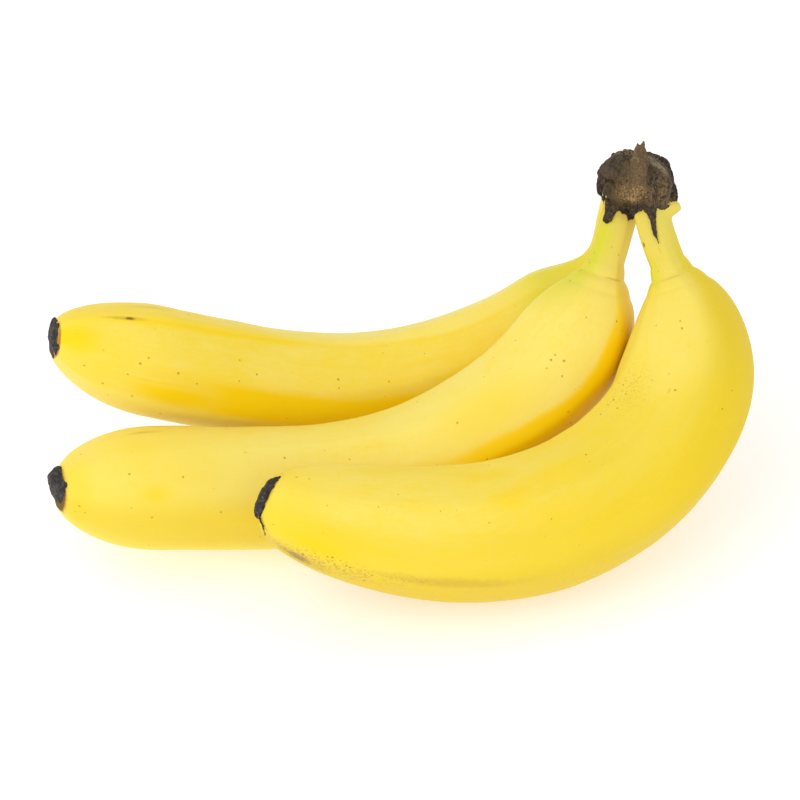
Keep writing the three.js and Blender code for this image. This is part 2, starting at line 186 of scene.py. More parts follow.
class BananaPeelSettings(PropertyGroup):
    """Sizes and colours of the peel."""

    sides: IntProperty(name="Sides", description="Points round a fruit", default=128, min=24, max=256)
    sharpness: FloatProperty(
        name="Ridge Sharpness", description="How tight a peel ridge turns", default=34.0, min=5.0, max=90.0,
    )
    waviness: length_property("Waviness", "Height of the broad dents and swellings of the peel", 0.0004, 0.003)
    pucker: length_property("Pucker", "Height of the fine ribs at the neck and the blossom end", 0.00028, 0.001)
    crease: length_property("Crease", "Depth of the folds where the neck joins the belly", 0.0002, 0.002)
    ripe: colour_property("Ripe", "Main yellow of the peel", (0.93, 0.70, 0.06))
    # Pale is also painted light: a painted highlight along the ridges and ridge lines, and a painted reflection of the
    # floor on the back fruit's lower face.
    pale: colour_property("Pale", "Pale yellow of the upper faces and worn ridges", (0.93, 0.77, 0.17))
    # Deep: the peel's own saturated yellow in its mottling, and also painted shade on faces sheltered by a
    # neighbouring fruit and in the groove under a ridge.
    deep_and_shade: colour_property("Deep", "Saturated yellow of the sheltered faces", (0.96, 0.67, 0.002))
    # Orange: painted shade and yellow bounce on the middle fruit's side that faces the front fruit.
    orange_shade: colour_property("Orange", "Deepest yellow, between the fruits", (0.96, 0.65, 0.001))
    # Strip: a duller yellow, also painted shade on the front fruit's underside and on the middle fruit's side toward
    # the front fruit.
    strip: colour_property("Strip", "Duller yellow beyond the ridges", (0.79, 0.57, 0.04))
    # Amber: a fuller yellow over the front fruit, and also painted shade on its far side, away from the light, and on
    # the middle fruit's side toward it.
    amber_and_shade: colour_property("Amber", "Fuller yellow of the front fruit's far side", (0.80, 0.585, 0.018))
    neck: colour_property("Neck", "Dull pale yellow of the stalks", (0.76, 0.64, 0.12))
    green: colour_property("Green", "Unripe tint of the necks", (0.68, 0.67, 0.022))
    ochre: colour_property("Ochre", "Rubbed patches", (0.55, 0.34, 0.05))
    freckle: colour_property("Freckle", "Freckles", (0.27, 0.14, 0.012))
    scorched: colour_property("Scorched", "Ring round the blossom end", (0.36, 0.13, 0.035))
    brown: colour_property("Brown", "Scars and the edge of the blossom end", (0.09, 0.045, 0.015))
    bruise: colour_property("Bruise", "Grey bruise on the front fruit", (0.20, 0.15, 0.11))


class BananaCrownSettings(PropertyGroup):
    """Sizes and colours of the dried crown."""

    grain: length_property("Grain", "Size of the cells that the crown is fused from", 0.00028, 0.002, 0.0002)
    fibre: length_property("Fibre Height", "Height of the dry fibres", 0.0005, 0.003)
    dark: colour_property("Dark", "Charred rims of the crown", (0.024, 0.021, 0.018))
    brown: colour_property("Brown", "Dry body of the crown", (0.12, 0.078, 0.04))
    tan: colour_property("Tan", "Fibres of the keel and the right face", (0.235, 0.15, 0.066))
    bare: colour_property("Bare", "Barest grains of the keel", (0.40, 0.25, 0.10))
    # Ash: grey weathered streaks, and also a painted highlight on the ragged top-left rim.
    ash_and_highlight: colour_property("Ash", "Grey weathered streaks", (0.38, 0.30, 0.19))


class BananaBlossomSettings(PropertyGroup):
    """Sizes and colours of the dried blossom stubs."""

    roughness: length_property("Ruggedness", "Height of the charred lumps", 0.0008, 0.002)
    char: colour_property("Char", "Charred body of the stub", (0.014, 0.013, 0.012))
    # Ash: grey crust on the raised lumps, partly a painted highlight on their tops.
    ash_and_highlight: colour_property("Ash", "Grey crust on the lumps", (0.26, 0.25, 0.22))
    husk: colour_property("Husk", "Brown flakes of the stub", (0.07, 0.045, 0.03))


class BananaStageSettings(PropertyGroup):
    """Floor, light and camera."""

    floor: colour_property("Floor", "Pale floor", (0.78, 0.78, 0.79))
    glow: FloatProperty(
        name="Glow", description="Light that the floor gives off by itself", default=0.36, min=0.0, max=2.0,
    )
    sky: FloatProperty(name="Sky", description="Strength of the even light all round", default=0.815, min=0.0, max=5.0)
    key: power_property("Key Light", "Power of the overhead softbox", 2.3)
    fill: power_property("Fill Light", "Power of the front softbox", 1.1)


# ---------- node building ----------


def arithmetic(operation):
    """Methods of a value for one arithmetic operation: with the value first, and with it second."""
    return (
        lambda value, other: value.graph.math(operation, value, other),
        lambda value, other: value.graph.math(operation, other, value),
    )


class Value:
    """A node's output that adds, subtracts, multiplies and divides as a number does."""

    __add__, __radd__ = arithmetic("ADD")
    __sub__, __rsub__ = arithmetic("SUBTRACT")
    __mul__, __rmul__ = arithmetic("MULTIPLY")
    __truediv__, __rtruediv__ = arithmetic("DIVIDE")

    def __init__(self, graph, socket):
        self.graph = graph
        self.socket = socket


class Graph:
    """Builds the nodes and links of one tree."""

    def __init__(self, tree):
        self.tree = tree

    def feed(self, socket, value):
        if isinstance(value, Value):
            value = value.socket
        if isinstance(value, bpy.types.NodeSocket):
            self.tree.links.new(value, socket)
        elif value is not None:
            socket.default_value = value

    def node(self, kind, inputs=None, **settings):
        made = self.tree.nodes.new(kind)
        for name, value in settings.items():
            setattr(made, name, value)
        for name, value in (inputs or {}).items():
            self.feed(made.inputs[name], value)
        return made

    def wrap(self, socket):
        return Value(self, socket)

    def calculate(self, kind, operation, values, output=0):
        made = self.node(kind, operation=operation)
        for socket, value in zip(made.inputs, values):
            self.feed(socket, value)
        return Value(self, made.outputs[output])

    def math(self, operation, *values):
        return self.calculate("ShaderNodeMath", operation, values)

    def vector(self, operation, *values, output=0):
        return self.calculate("ShaderNodeVectorMath", operation, values, output)

    def scale(self, vector, factor):
        made = self.node("ShaderNodeVectorMath", {"Scale": factor}, operation="SCALE")
        self.feed(made.inputs[0], vector)
        return Value(self, made.outputs[0])

    def combine(self, x=0.0, y=0.0, z=0.0):
        return self.wrap(self.node("ShaderNodeCombineXYZ", {"X": x, "Y": y, "Z": z}).outputs[0])

    def split(self, vector):
        made = self.node("ShaderNodeSeparateXYZ", {"Vector": vector})
        return [self.wrap(socket) for socket in made.outputs]

    def step(self, value, low, high, to_low=0.0, to_high=1.0):
        """Smooth step from to_low to to_high as value goes from low to high."""
        made = self.node("ShaderNodeMapRange", interpolation_type="SMOOTHSTEP", inputs={
            "Value": value, "From Min": low, "From Max": high, "To Min": to_low, "To Max": to_high,
        })
        return self.wrap(made.outputs["Result"])

    def noise(self, vector, scale, detail=2.0, roughness=0.5, seed=0.0):
        made = self.node("ShaderNodeTexNoise", noise_dimensions="4D", inputs={
            "Vector": vector, "W": seed, "Scale": scale, "Detail": detail, "Roughness": roughness,
        })
        return self.wrap(made.outputs["Fac"])

    def mix(self, factor, first, second):
        made = self.node("ShaderNodeMix", data_type="RGBA")
        self.feed(made.inputs["Factor"], factor)
        colours = [socket for socket in made.inputs if socket.type == "RGBA"]
        for socket, value in zip(colours, (first, second)):
            self.feed(socket, value if isinstance(value, Value) else (*value, 1.0))
        return self.wrap([socket for socket in made.outputs if socket.type == "RGBA"][0])

    def paint(self, colour, *layers):
        """Lays tones over a colour in turn, each by its mask."""
        for mask, tone in layers:
            colour = self.mix(mask, colour, tone)
        return colour

    def attribute(self, name, output="Fac"):
        return self.wrap(self.node("ShaderNodeAttribute", attribute_name=name).outputs[output])

    def bump(self, surface, height, strength, distance):
        made = self.node("ShaderNodeBump", {"Strength": strength, "Distance": distance, "Height": height})
        self.feed(surface.inputs["Normal"], made.outputs["Normal"])

    def store(self, geometry, name, value, kind="FLOAT"):
        """Stores a value on every point of a geometry."""
        return self.node("GeometryNodeStoreNamedAttribute", {
            "Geometry": geometry, "Name": name, "Value": value,
        }, data_type=kind, domain="POINT").outputs[0]

    def finish(self, last, material, end):
        """Ends a Geometry Nodes tree with realised instances and its material."""
        realised = self.node("GeometryNodeRealizeInstances", {"Geometry": last.outputs[0]})
        painted = self.node("GeometryNodeSetMaterial", {"Geometry": realised.outputs[0], "Material": material})
        self.feed(end.inputs[0], painted.outputs[0])
        return self.tree


SOCKETS = {
    "geometry": "NodeSocketGeometry", "float": "NodeSocketFloat", "int": "NodeSocketInt",
    "vector": "NodeSocketVector", "material": "NodeSocketMaterial",
}


def new_group(name, kind, inputs, outputs):
    """Node group with named sockets: its graph, its input values by name, and its output node."""
    tree = bpy.data.node_groups.new(name, kind)
    for socket_name, socket_kind, default in inputs:
        socket = tree.interface.new_socket(socket_name, in_out="INPUT", socket_type=SOCKETS[socket_kind])
        if default is not None:
            socket.default_value = default
    for socket_name, socket_kind in outputs:
        tree.interface.new_socket(socket_name, in_out="OUTPUT", socket_type=SOCKETS[socket_kind])
    graph = Graph(tree)
    entry = graph.node("NodeGroupInput")
    values = {socket.name: graph.wrap(socket) for socket in entry.outputs if socket.name}
    return graph, values, graph.node("NodeGroupOutput")


def new_material(name):
    """New material: itself, its graph, its surface shader and the object's own coordinates."""
    material = bpy.data.materials.new(name)
    material.use_nodes = True
    graph = Graph(material.node_tree)
    surface = material.node_tree.nodes["Principled BSDF"]
    return material, graph, surface, graph.wrap(graph.node("ShaderNodeTexCoord").outputs["Object"])


def keep_result(target, modifier, **options):
    """Keeps a modifier's result as the object's plain mesh and takes the modifier away."""
    depsgraph = bpy.context.evaluated_depsgraph_get()
    made = bpy.data.meshes.new_from_object(target.evaluated_get(depsgraph), depsgraph=depsgraph, **options)
    made.name = target.name
    target.modifiers.remove(modifier)
    target.data = made
    return target


def use_tree(target, tree, values):
    """Runs a Geometry Nodes tree on an object and keeps its result as the object's plain mesh."""
    modifier = target.modifiers.new(tree.name, "NODES")
    modifier.node_group = tree
    identifiers = {
        item.name: item.identifier for item in tree.interface.items_tree
        if item.item_type == "SOCKET" and item.in_out == "INPUT"
    }
    for name, value in values.items():
        modifier[identifiers[name]] = value
    keep_result(target, modifier, preserve_all_data_layers=True)
    if not target.data.polygons:
        raise RuntimeError(f"{tree.name} made no faces for {target.name}")
    return target


def new_object(name, points, edges=(), faces=()):
    mesh = bpy.data.meshes.new(name)
    mesh.from_pydata([tuple(point) for point in points], edges, faces)
    mesh.update()
    made = bpy.data.objects.new(name, mesh)
    bpy.context.scene.collection.objects.link(made)
    return made


def finish_piece(piece, slot, *nodes):
    for polygon in piece.data.polygons:
        polygon.use_smooth = True
    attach(piece, BODY)
    if nodes:
        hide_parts(*nodes)


# ---------- the shape of a fruit ----------


def through_stations(values, shares):
    """Smooth curve through one value per station, read at shares of the length."""
    x, v = np.array(STATIONS, float), np.array(values, float)
    gaps, rises = np.diff(x), np.diff(v)
    secants = rises / gaps
    slopes = np.concatenate((
        secants[:1],
        (secants[:-1] * gaps[1:] + secants[1:] * gaps[:-1]) / (gaps[1:] + gaps[:-1]),
        secants[-1:],
    ))
    span = np.clip(np.searchsorted(x, shares, side="right") - 1, 0, len(x) - 2)
    width = gaps[span]
    t = (shares - x[span]) / width
    return (
        (2 * t**3 - 3 * t**2 + 1) * v[span] + (t**3 - 2 * t**2 + t) * width * slopes[span]
        + (3 * t**2 - 2 * t**3) * v[span + 1] + (t**3 - t**2) * width * slopes[span + 1]
    )


def smooth_step(value):
    t = np.clip(value, 0, 1)
    return t * t * (3 - 2 * t)


def course(fruit, shares):
    """Directions along the spine, to the hollow side and to the viewer's side, at each share."""
    lean, yaw = fruit["lean"] * DEGREE, fruit["yaw"] * DEGREE
    down = np.array((0, -math.sin(lean), -math.cos(lean)))
    left = np.array((-math.cos(yaw), math.sin(yaw) * math.cos(lean), -math.sin(yaw) * math.sin(lean)))
    heading = through_stations(fruit["headings"], shares)[:, None] * DEGREE
    aside = (fruit["bow"] * (2 * shares - 1))[:, None] * DEGREE
    along = (
        down * np.cos(heading) * np.cos(aside) + left * np.sin(heading) * np.cos(aside)
        + np.cross(down, left) * np.sin(aside)
    )
    inner = left * np.cos(heading) - down * np.sin(heading)
    return along, inner, np.cross(inner, along)


def spine(fruit, shares):
    """Places on the spine and its directions; a share below 0 runs straight into the crown."""
    inside = np.clip(shares, 0, 1)
    steps = 4000
    along, _, _ = course(fruit, (np.arange(steps) + 0.5) / steps)
    walk = np.vstack((np.zeros(3), np.cumsum(along, axis=0))) * fruit["length"] / steps
    places = np.stack([np.interp(inside, np.linspace(0, 1, steps + 1), walk[:, i]) for i in range(3)], axis=1)
    along, inner, viewer = course(fruit, inside)
    places += np.array(fruit["start"]) + along * ((shares - inside) * fruit["length"])[:, None]
    return places * MM, along, inner, viewer


def girths(fruit, shares):
    """Mean radius at each share: stalk, swell, belly and the taper to the blossom end."""

    def swell(at):
        low, high = fruit["swell"]
        rise = smooth_step((at - low) / (high - low)) ** fruit["swell_power"]
        return fruit["stalk"] + (fruit["belly"] - fruit["stalk"]) * rise

    body = (swell(shares - SWELL_EASING) + 2 * swell(shares) + swell(shares + SWELL_EASING)) / 4
    run = np.clip((shares - fruit["taper"]) / (1 - fruit["taper"]), 0, 1)
    tip = fruit["end"] + (fruit["belly"] - fruit["end"]) * (1 - run ** fruit["fullness"]) ** (1 / fruit["bluntness"])
    return np.where(shares > fruit["taper"], tip, body) * MM


def facets(fruit):
    """Direction and distance of each flat between two ridges, for a section of mean radius 1."""
    angles = np.array(fruit["ridges"], float) * DEGREE
    corners = np.array(fruit["reach"])[:, None] * np.stack((np.cos(angles), np.sin(angles)), axis=1)
    following = np.roll(corners, -1, axis=0)
    run = following - corners
    normals = np.stack((run[:, 1], -run[:, 0]), axis=1) / np.linalg.norm(run, axis=1)[:, None]
    found = [(math.atan2(n[1], n[0]), float(n @ c)) for n, c in zip(normals, corners)]
    return found + [(0.0, 9.0)] * (MOST_FACETS - len(found))


def ring_shares(fruit):
    """Shares of the length at which rings stand: closer at the neck and at the blossom end."""
    return np.concatenate((
        np.array((-ROOT_SINK, -ROOT_SINK / 2)) / fruit["length"],
        np.linspace(0, 0.08, 22, endpoint=False),
        np.linspace(0.08, 0.3, 100, endpoint=False),
        np.linspace(0.3, 0.82, 100, endpoint=False),
        0.82 + 0.18 * np.sin(np.linspace(0, math.pi / 2, 70)),
    ))


# How the skin turns in past the end of the spine: distance on, in millimetres, and share of the radius.
END_CAP = ((0.25, 0.97), (0.5, 0.9), (0.62, 0.8), (0.55, 0.65), (0.4, 0.4))


def spine_object(name, fruit):
    """Bare line of the spine, carrying what the sweep reads at each ring."""
    shares = ring_shares(fruit)
    places, along, inner, viewer = spine(fruit, shares)
    girth = girths(fruit, shares)
    cap = np.array(END_CAP)
    places = np.vstack((places, places[-1] + along[-1] * cap[:, :1] * MM))
    girth = np.concatenate((girth, girth[-1] * cap[:, 1]))
    extra = len(cap)

    def hold(values):
        return np.concatenate((values, np.repeat(values[-1:], extra, axis=0)))

    line = new_object(name, places, [(i, i + 1) for i in range(len(places) - 1)])
    turn = hold(through_stations(fruit["twist"], np.clip(shares, 0, 1)) * DEGREE)
    write_attribute(line.data, "inner", "FLOAT_VECTOR", hold(inner))
    write_attribute(line.data, "viewer", "FLOAT_VECTOR", hold(viewer))
    write_attribute(line.data, "girth", "FLOAT", girth)
    write_attribute(line.data, "turn", "FLOAT", turn)
    write_attribute(line.data, "along", "FLOAT", np.concatenate((shares, 1 + 0.05 * (1 - cap[:, 1]))))
    return line


def write_attribute(mesh, name, kind, values):
    attribute = mesh.attributes.new(name, kind, "POINT")
    attribute.data.foreach_set("vector" if kind == "FLOAT_VECTOR" else "value", np.asarray(values, np.float32).ravel())


def loft_parts(rings):
    """Points and outward faces of a closed skin over a stack of rings with equally many points."""
    rings = np.asarray(rings, float)
    count, sides = rings.shape[:2]
    points = np.vstack((rings.reshape(-1, 3), rings[0].mean(axis=0), rings[-1].mean(axis=0)))
    first, last, end = count * sides, count * sides + 1, (count - 1) * sides
    faces = []
    for side in range(sides):
        following = (side + 1) % sides
        faces += [(first, following, side), (last, end + side, end + following)]
        for ring in range(0, end, sides):
            faces.append((ring + side, ring + following, ring + sides + following, ring + sides + side))
    corners = [points[[face[i] for face in faces]] for i in range(3)]
    volume = np.einsum("ij,ij->", corners[0], np.cross(corners[1], corners[2]))
    if volume < 0:
        faces = [face[::-1] for face in faces]
    return points, faces


def loft_object(name, *shells):
    """One object from closed skins that may overlap."""
    points, faces, offset = [], [], 0
    for rings in shells:
        shell_points, shell_faces = loft_parts(rings)
        points.append(shell_points)
        faces += [tuple(corner + offset for corner in face) for face in shell_faces]
        offset += len(shell_points)
    return new_object(name, np.vstack(points) * MM, (), faces)


def fuse(target, cell):
    """Fuses an object's overlapping skins into one skin of small cells."""
    remesh = target.modifiers.new("fuse", "REMESH")
    remesh.mode = "VOXEL"
    remesh.voxel_size = cell
    return keep_result(target, remesh)


def ridged(ridges, reach, angles):
    """Reach of a many-cornered section, in degrees, with its corners rounded a little."""
    corners = np.array(ridges, float)
    reach = np.array(reach, float)
    following = np.roll(corners, -1)
    widths = (following - corners) % 360
    total = np.zeros(len(angles))
    for shift in (-10, -5, 0, 5, 10):
        turned = (angles[:, None] + shift - corners) % 360
        span = np.argmax(turned < widths, axis=1)
        past = turned[np.arange(len(angles)), span]
        near, far, width = reach[span], np.roll(reach, -1)[span], widths[span]
        total += near * far * np.sin(width * DEGREE) / (
            near * np.sin(past * DEGREE) + far * np.sin((width - past) * DEGREE)
        )
    return total / 5


def peel_sweep_tree():
    """Tree that sweeps a ridged section along a spine and adds waves, ribs and neck folds."""
    facet_inputs = []
    for i in range(1, MOST_FACETS + 1):
        facet_inputs += [(f"Facet {i} Angle", "float", 0.0), (f"Facet {i} Distance", "float", 0.9)]
    graph, given, end = new_group("Peel Sweep", "GeometryNodeTree", [
        ("Spine", "geometry", None), ("Sides", "int", 96), ("Ridge Strength", "float", 0.42),
        ("Ridge Sharpness", "float", 30.0), ("Waviness", "float", 0.0004), ("Pucker", "float", 0.0003),
        ("Crease", "float", 0.0003), ("Crease Place", "float", 0.11), ("Seed", "float", 1.0),
        ("Ear Height", "float", 0.0), ("Ear Angle", "float", 0.0), ("Ear Place", "float", 0.0),
        ("End Slope", "float", 0.0), ("End Lean", "float", 0.0),
        ("Material", "material", None), *facet_inputs,
    ], [("Peel", "geometry")])

    stations = graph.node("GeometryNodeAttributeDomainSize", {"Geometry": given["Spine"]})
    count = graph.wrap(stations.outputs["Point Count"])
    tube = graph.node("GeometryNodeMeshCylinder", {
        "Vertices": given["Sides"], "Side Segments": count - 1, "Radius": 1.0, "Depth": 1.0,
    }, fill_type="TRIANGLE_FAN")
    place = graph.wrap(graph.node("GeometryNodeInputPosition").outputs[0])
    x, y, z = graph.split(place)
    index = graph.math("ROUND", (z + 0.5) * (count - 1))
    angle = graph.math("ARCTAN2", y * -1, x)
    outward = graph.math("SQRT", x * x + y * y)

    def sampled(name, kind):
        attribute = graph.node("GeometryNodeInputNamedAttribute", {"Name": name}, data_type=kind)
        found = graph.node("GeometryNodeSampleIndex", {
            "Geometry": given["Spine"], "Value": attribute.outputs["Attribute"], "Index": index,
        }, data_type=kind, domain="POINT")
        return graph.wrap(found.outputs["Value"])

    line_place = graph.node("GeometryNodeInputPosition")
    centre = graph.wrap(graph.node("GeometryNodeSampleIndex", {
        "Geometry": given["Spine"], "Value": line_place.outputs[0], "Index": index,
    }, data_type="FLOAT_VECTOR", domain="POINT").outputs["Value"])
    inner, viewer = sampled("inner", "FLOAT_VECTOR"), sampled("viewer", "FLOAT_VECTOR")
    girth, turn, along = sampled("girth", "FLOAT"), sampled("turn", "FLOAT"), sampled("along", "FLOAT")

    # Each flat's reach in this direction; the nearest flat bounds the section, softened at the ridges.
    reaches = []
    for i in range(1, MOST_FACETS + 1):
        facing = graph.math("COSINE", angle - turn - given[f"Facet {i} Angle"])
        reaches.append(given[f"Facet {i} Distance"] / graph.math("MAXIMUM", facing, 0.3))
    nearest = reaches[0]
    for reach in reaches[1:]:
        nearest = graph.math("MINIMUM", nearest, reach)
    crowd = 0.0
    for reach in reaches:
        crowd = graph.math("EXPONENT", (nearest - reach) * given["Ridge Sharpness"]) + crowd
    flat = nearest - graph.math("LOGARITHM", crowd, math.e) / given["Ridge Sharpness"]
    section = (flat - 1) * given["Ridge Strength"] + 1

    round_x, round_y = graph.math("COSINE", angle), graph.math("SINE", angle)
    ring_point = graph.combine(round_x, round_y, along * 10)
    waves = graph.noise(ring_point, 1.1, 1.5, 0.5, given["Seed"]) - 0.5
    ribs = graph.noise(graph.combine(round_x * 3, round_y * 3, along * 6), 2.2, 2.0, 0.6, given["Seed"]) - 0.5
    neck = graph.step(along, 0.16, 0.03)
    tip = graph.step(along, 0.9, 1.0)
    ribbed = graph.math("MAXIMUM", neck * 0.25, tip)
    body = graph.step(along, 0.12, 0.32)
    fold_shift = (graph.noise(graph.combine(round_x, round_y, 0.3), 1.6, 1.0, 0.5, given["Seed"]) - 0.5) * 0.03
    folds = 0.0
    for shift, width, depth in ((0.0, 0.0032, 1.0), (0.011, 0.0024, 0.6), (-0.012, 0.0026, 0.4)):
        off = (along - given["Crease Place"] - fold_shift - shift) / width
        folds = graph.math("EXPONENT", off * off * -1) * depth + folds
    broken = graph.step(graph.noise(graph.combine(round_x, round_y, 5.0), 1.7, 1.0, 0.5, given["Seed"]), 0.42, 0.6)
    seen = graph.step(graph.math("COSINE", angle - 1.4), 0.3, 0.85)
    relief = waves * given["Waviness"] * 2 * body + ribs * given["Pucker"] * 2 * ribbed
    relief = relief - folds * broken * seen * given["Crease"]

    ear_x, ear_y = (graph.math(wave, given["Ear Angle"]) for wave in ("COSINE", "SINE"))
    beside = graph.math("MAXIMUM", round_x * ear_x + round_y * ear_y, 0.0)
    beyond = graph.math("POWER", graph.math("MAXIMUM", along - given["Ear Place"], 0.0) / 0.0105, 2.0)
    before = graph.math("POWER", graph.math("MAXIMUM", given["Ear Place"] - along, 0.0) / 0.014, 2.0)
    rise = graph.math("EXPONENT", (beyond * beyond + before * before) * -1)
    ear = graph.math("POWER", beside, 9.0) * rise * given["Ear Height"]

    reach = (girth * section + relief + ear) * outward
    forward = graph.vector("CROSS_PRODUCT", viewer, inner)
    slid = reach * (round_x * given["End Slope"] + round_y * given["End Lean"]) * graph.step(along, 0.9, 1.0)
    sideways = graph.vector("ADD", graph.scale(inner, reach * round_x), graph.scale(viewer, reach * round_y))
    placed = graph.vector("ADD", graph.vector("ADD", centre, sideways), graph.scale(forward, slid))
    placed = graph.vector("MAXIMUM", placed, (-9.0, -9.0, 0.00002))
    stored = graph.store(tube.outputs["Mesh"], "peel", graph.combine(along, round_x, round_y), "FLOAT_VECTOR")
    stored = graph.store(stored, "ridge", crowd - 1)
    moved = graph.node("GeometryNodeSetPosition", {"Geometry": stored, "Position": placed})
    return graph.finish(moved, given["Material"], end)


# ---------- peel materials ----------


def patch_group():
    """Mask of one patch of the peel, placed by share of the length and angle round the fruit."""
    graph, given, end = new_group("Peel Patch", "ShaderNodeTree", [
        ("Along", "float", 0.5), ("Angle", "float", 0.0), ("Ragged", "float", 0.5),
        ("Centre", "float", 0.5), ("Around", "float", 0.0), ("Half Length", "float", 0.05),
        ("Half Width", "float", 0.3), ("Softness", "float", 0.4), ("Raggedness", "float", 0.3),
    ], [("Mask", "float")])
    turned = given["Angle"] - given["Around"]
    crossways = graph.math("ARCTAN2", graph.math("SINE", turned), graph.math("COSINE", turned)) / given["Half Width"]
    lengthways = (given["Along"] - given["Centre"]) / given["Half Length"]
    away = graph.math("SQRT", lengthways * lengthways + crossways * crossways)
    torn = (given["Ragged"] - 0.5) * given["Raggedness"] * 2
    made = graph.step(away + torn, 1 + given["Softness"], graph.math("MAXIMUM", 1 - given["Softness"], 0.0))
    graph.feed(end.inputs["Mask"], made)
    return graph.tree


def stripe_group():
    """Masks of a band that runs along the peel and of everything beyond and before it."""
    graph, given, end = new_group("Peel Stripe", "ShaderNodeTree", [
        ("Along", "float", 0.5), ("Angle", "float", 0.0), ("Around", "float", 0.0), ("From", "float", 0.0),
        ("To", "float", 1.0), ("Fade", "float", 0.05), ("Half Width", "float", 0.1), ("Softness", "float", 0.05),
    ], [("Band", "float"), ("Beyond", "float"), ("Before", "float")])
    turned = given["Angle"] - given["Around"]
    off = graph.math("ARCTAN2", graph.math("SINE", turned), graph.math("COSINE", turned))
    fade = given["Fade"]
    inside = (
        graph.step(given["Along"], given["From"] - fade, given["From"] + fade)
        * graph.step(given["Along"], given["To"] + fade, given["To"] - fade)
    )
    width, soft = given["Half Width"], given["Softness"]
    graph.feed(end.inputs["Band"], graph.step(graph.math("ABSOLUTE", off), width + soft, width - soft) * inside)
    graph.feed(end.inputs["Beyond"], graph.step(off, soft * -1, soft) * inside)
    graph.feed(end.inputs["Before"], graph.step(off, soft, soft * -1) * inside)
    return graph.tree


def freckle_group():
    """Mask of small round freckles: one per cell, in the share of the cells that Amount gives."""
    graph, given, end = new_group("Peel Freckles", "ShaderNodeTree", [
        ("Point", "vector", None), ("Spacing", "float", 0.006), ("Size", "float", 0.0006), ("Amount", "float", 0.3),
        ("Seed", "float", 0.0),
    ], [("Mask", "float")])
    shifted = graph.vector("ADD", given["Point"], graph.combine(given["Seed"], given["Seed"], 0.0))
    cells = graph.node("ShaderNodeTexVoronoi", {
        "Vector": shifted, "Scale": 1 / given["Spacing"],
    })
    chance, size_share, _ = graph.split(cells.outputs["Color"])
    distance = graph.wrap(cells.outputs["Distance"]) * given["Spacing"]
    size = given["Size"] * (size_share * 0.8 + 0.5)
    there = graph.math("LESS_THAN", chance, given["Amount"])
    graph.feed(end.inputs["Mask"], graph.step(distance, size, size * 0.45) * there)
    return graph.tree


def patch(centre, around, half_length, half_width, tone, strength, softness=0.6, raggedness=0.3, stippled=False):
    return {
        "kind": "patch", "tone": tone, "strength": strength, "stippled": stippled,
        "inputs": {
            "Centre": centre, "Around": around * DEGREE, "Half Length": half_length, "Half Width": half_width * DEGREE,
            "Softness": softness, "Raggedness": raggedness,
        },
    }


def stripe(line, tone, strength, width=3.0, softness=2.0, start=0.0, stop=1.0, fade=0.05, output="Band"):
    return {
        "kind": "stripe", "tone": tone, "strength": strength, "line": line, "output": output,
        "inputs": {
            "From": start, "To": stop, "Fade": fade, "Half Width": width * DEGREE, "Softness": softness * DEGREE,
        },
    }


# Ridge lines of each fruit: share of the length and angle round it.
BACK_TOP = ((0, 20), (0.23, 4), (0.36, 6), (0.47, 3), (0.59, 3), (0.71, 6), (0.82, 11), (0.93, 12), (1, 12))
BACK_LOW = ((0, 94), (0.8, 93), (0.9, 91), (0.98, 98), (1, 98))
MIDDLE_EDGE = (
    (0, 150), (0.05, 146), (0.09, 112), (0.14, 111), (0.19, 109), (0.23, 110), (0.266, 108), (0.306, 102), (0.344, 96),
    (0.4, 91), (0.6, 95), (1, 100),
)
MIDDLE_BAND = (
    (0, 126), (0.14, 128), (0.19, 127), (0.23, 128), (0.266, 126), (0.306, 120), (0.344, 114), (0.4, 109), (1, 110),
)
MIDDLE_TOP = ((0, 8), (0.035, 5), (0.087, -5), (0.134, -5), (0.25, -2), (0.4, 2), (0.6, 8), (0.8, 10), (1, 14))
FRONT_TOP = ((0, 0), (0.12, -2), (0.16, 15), (0.26, 12), (0.42, 13), (0.6, 11), (0.8, 11), (1, 18))
FRONT_LOW = (
    (0, 80), (0.16, 108), (0.21, 121), (0.25, 128), (0.3, 136), (0.35, 141), (0.48, 143), (0.56, 143), (0.64, 145),
    (0.72, 149), (0.81, 156), (1, 165),
)
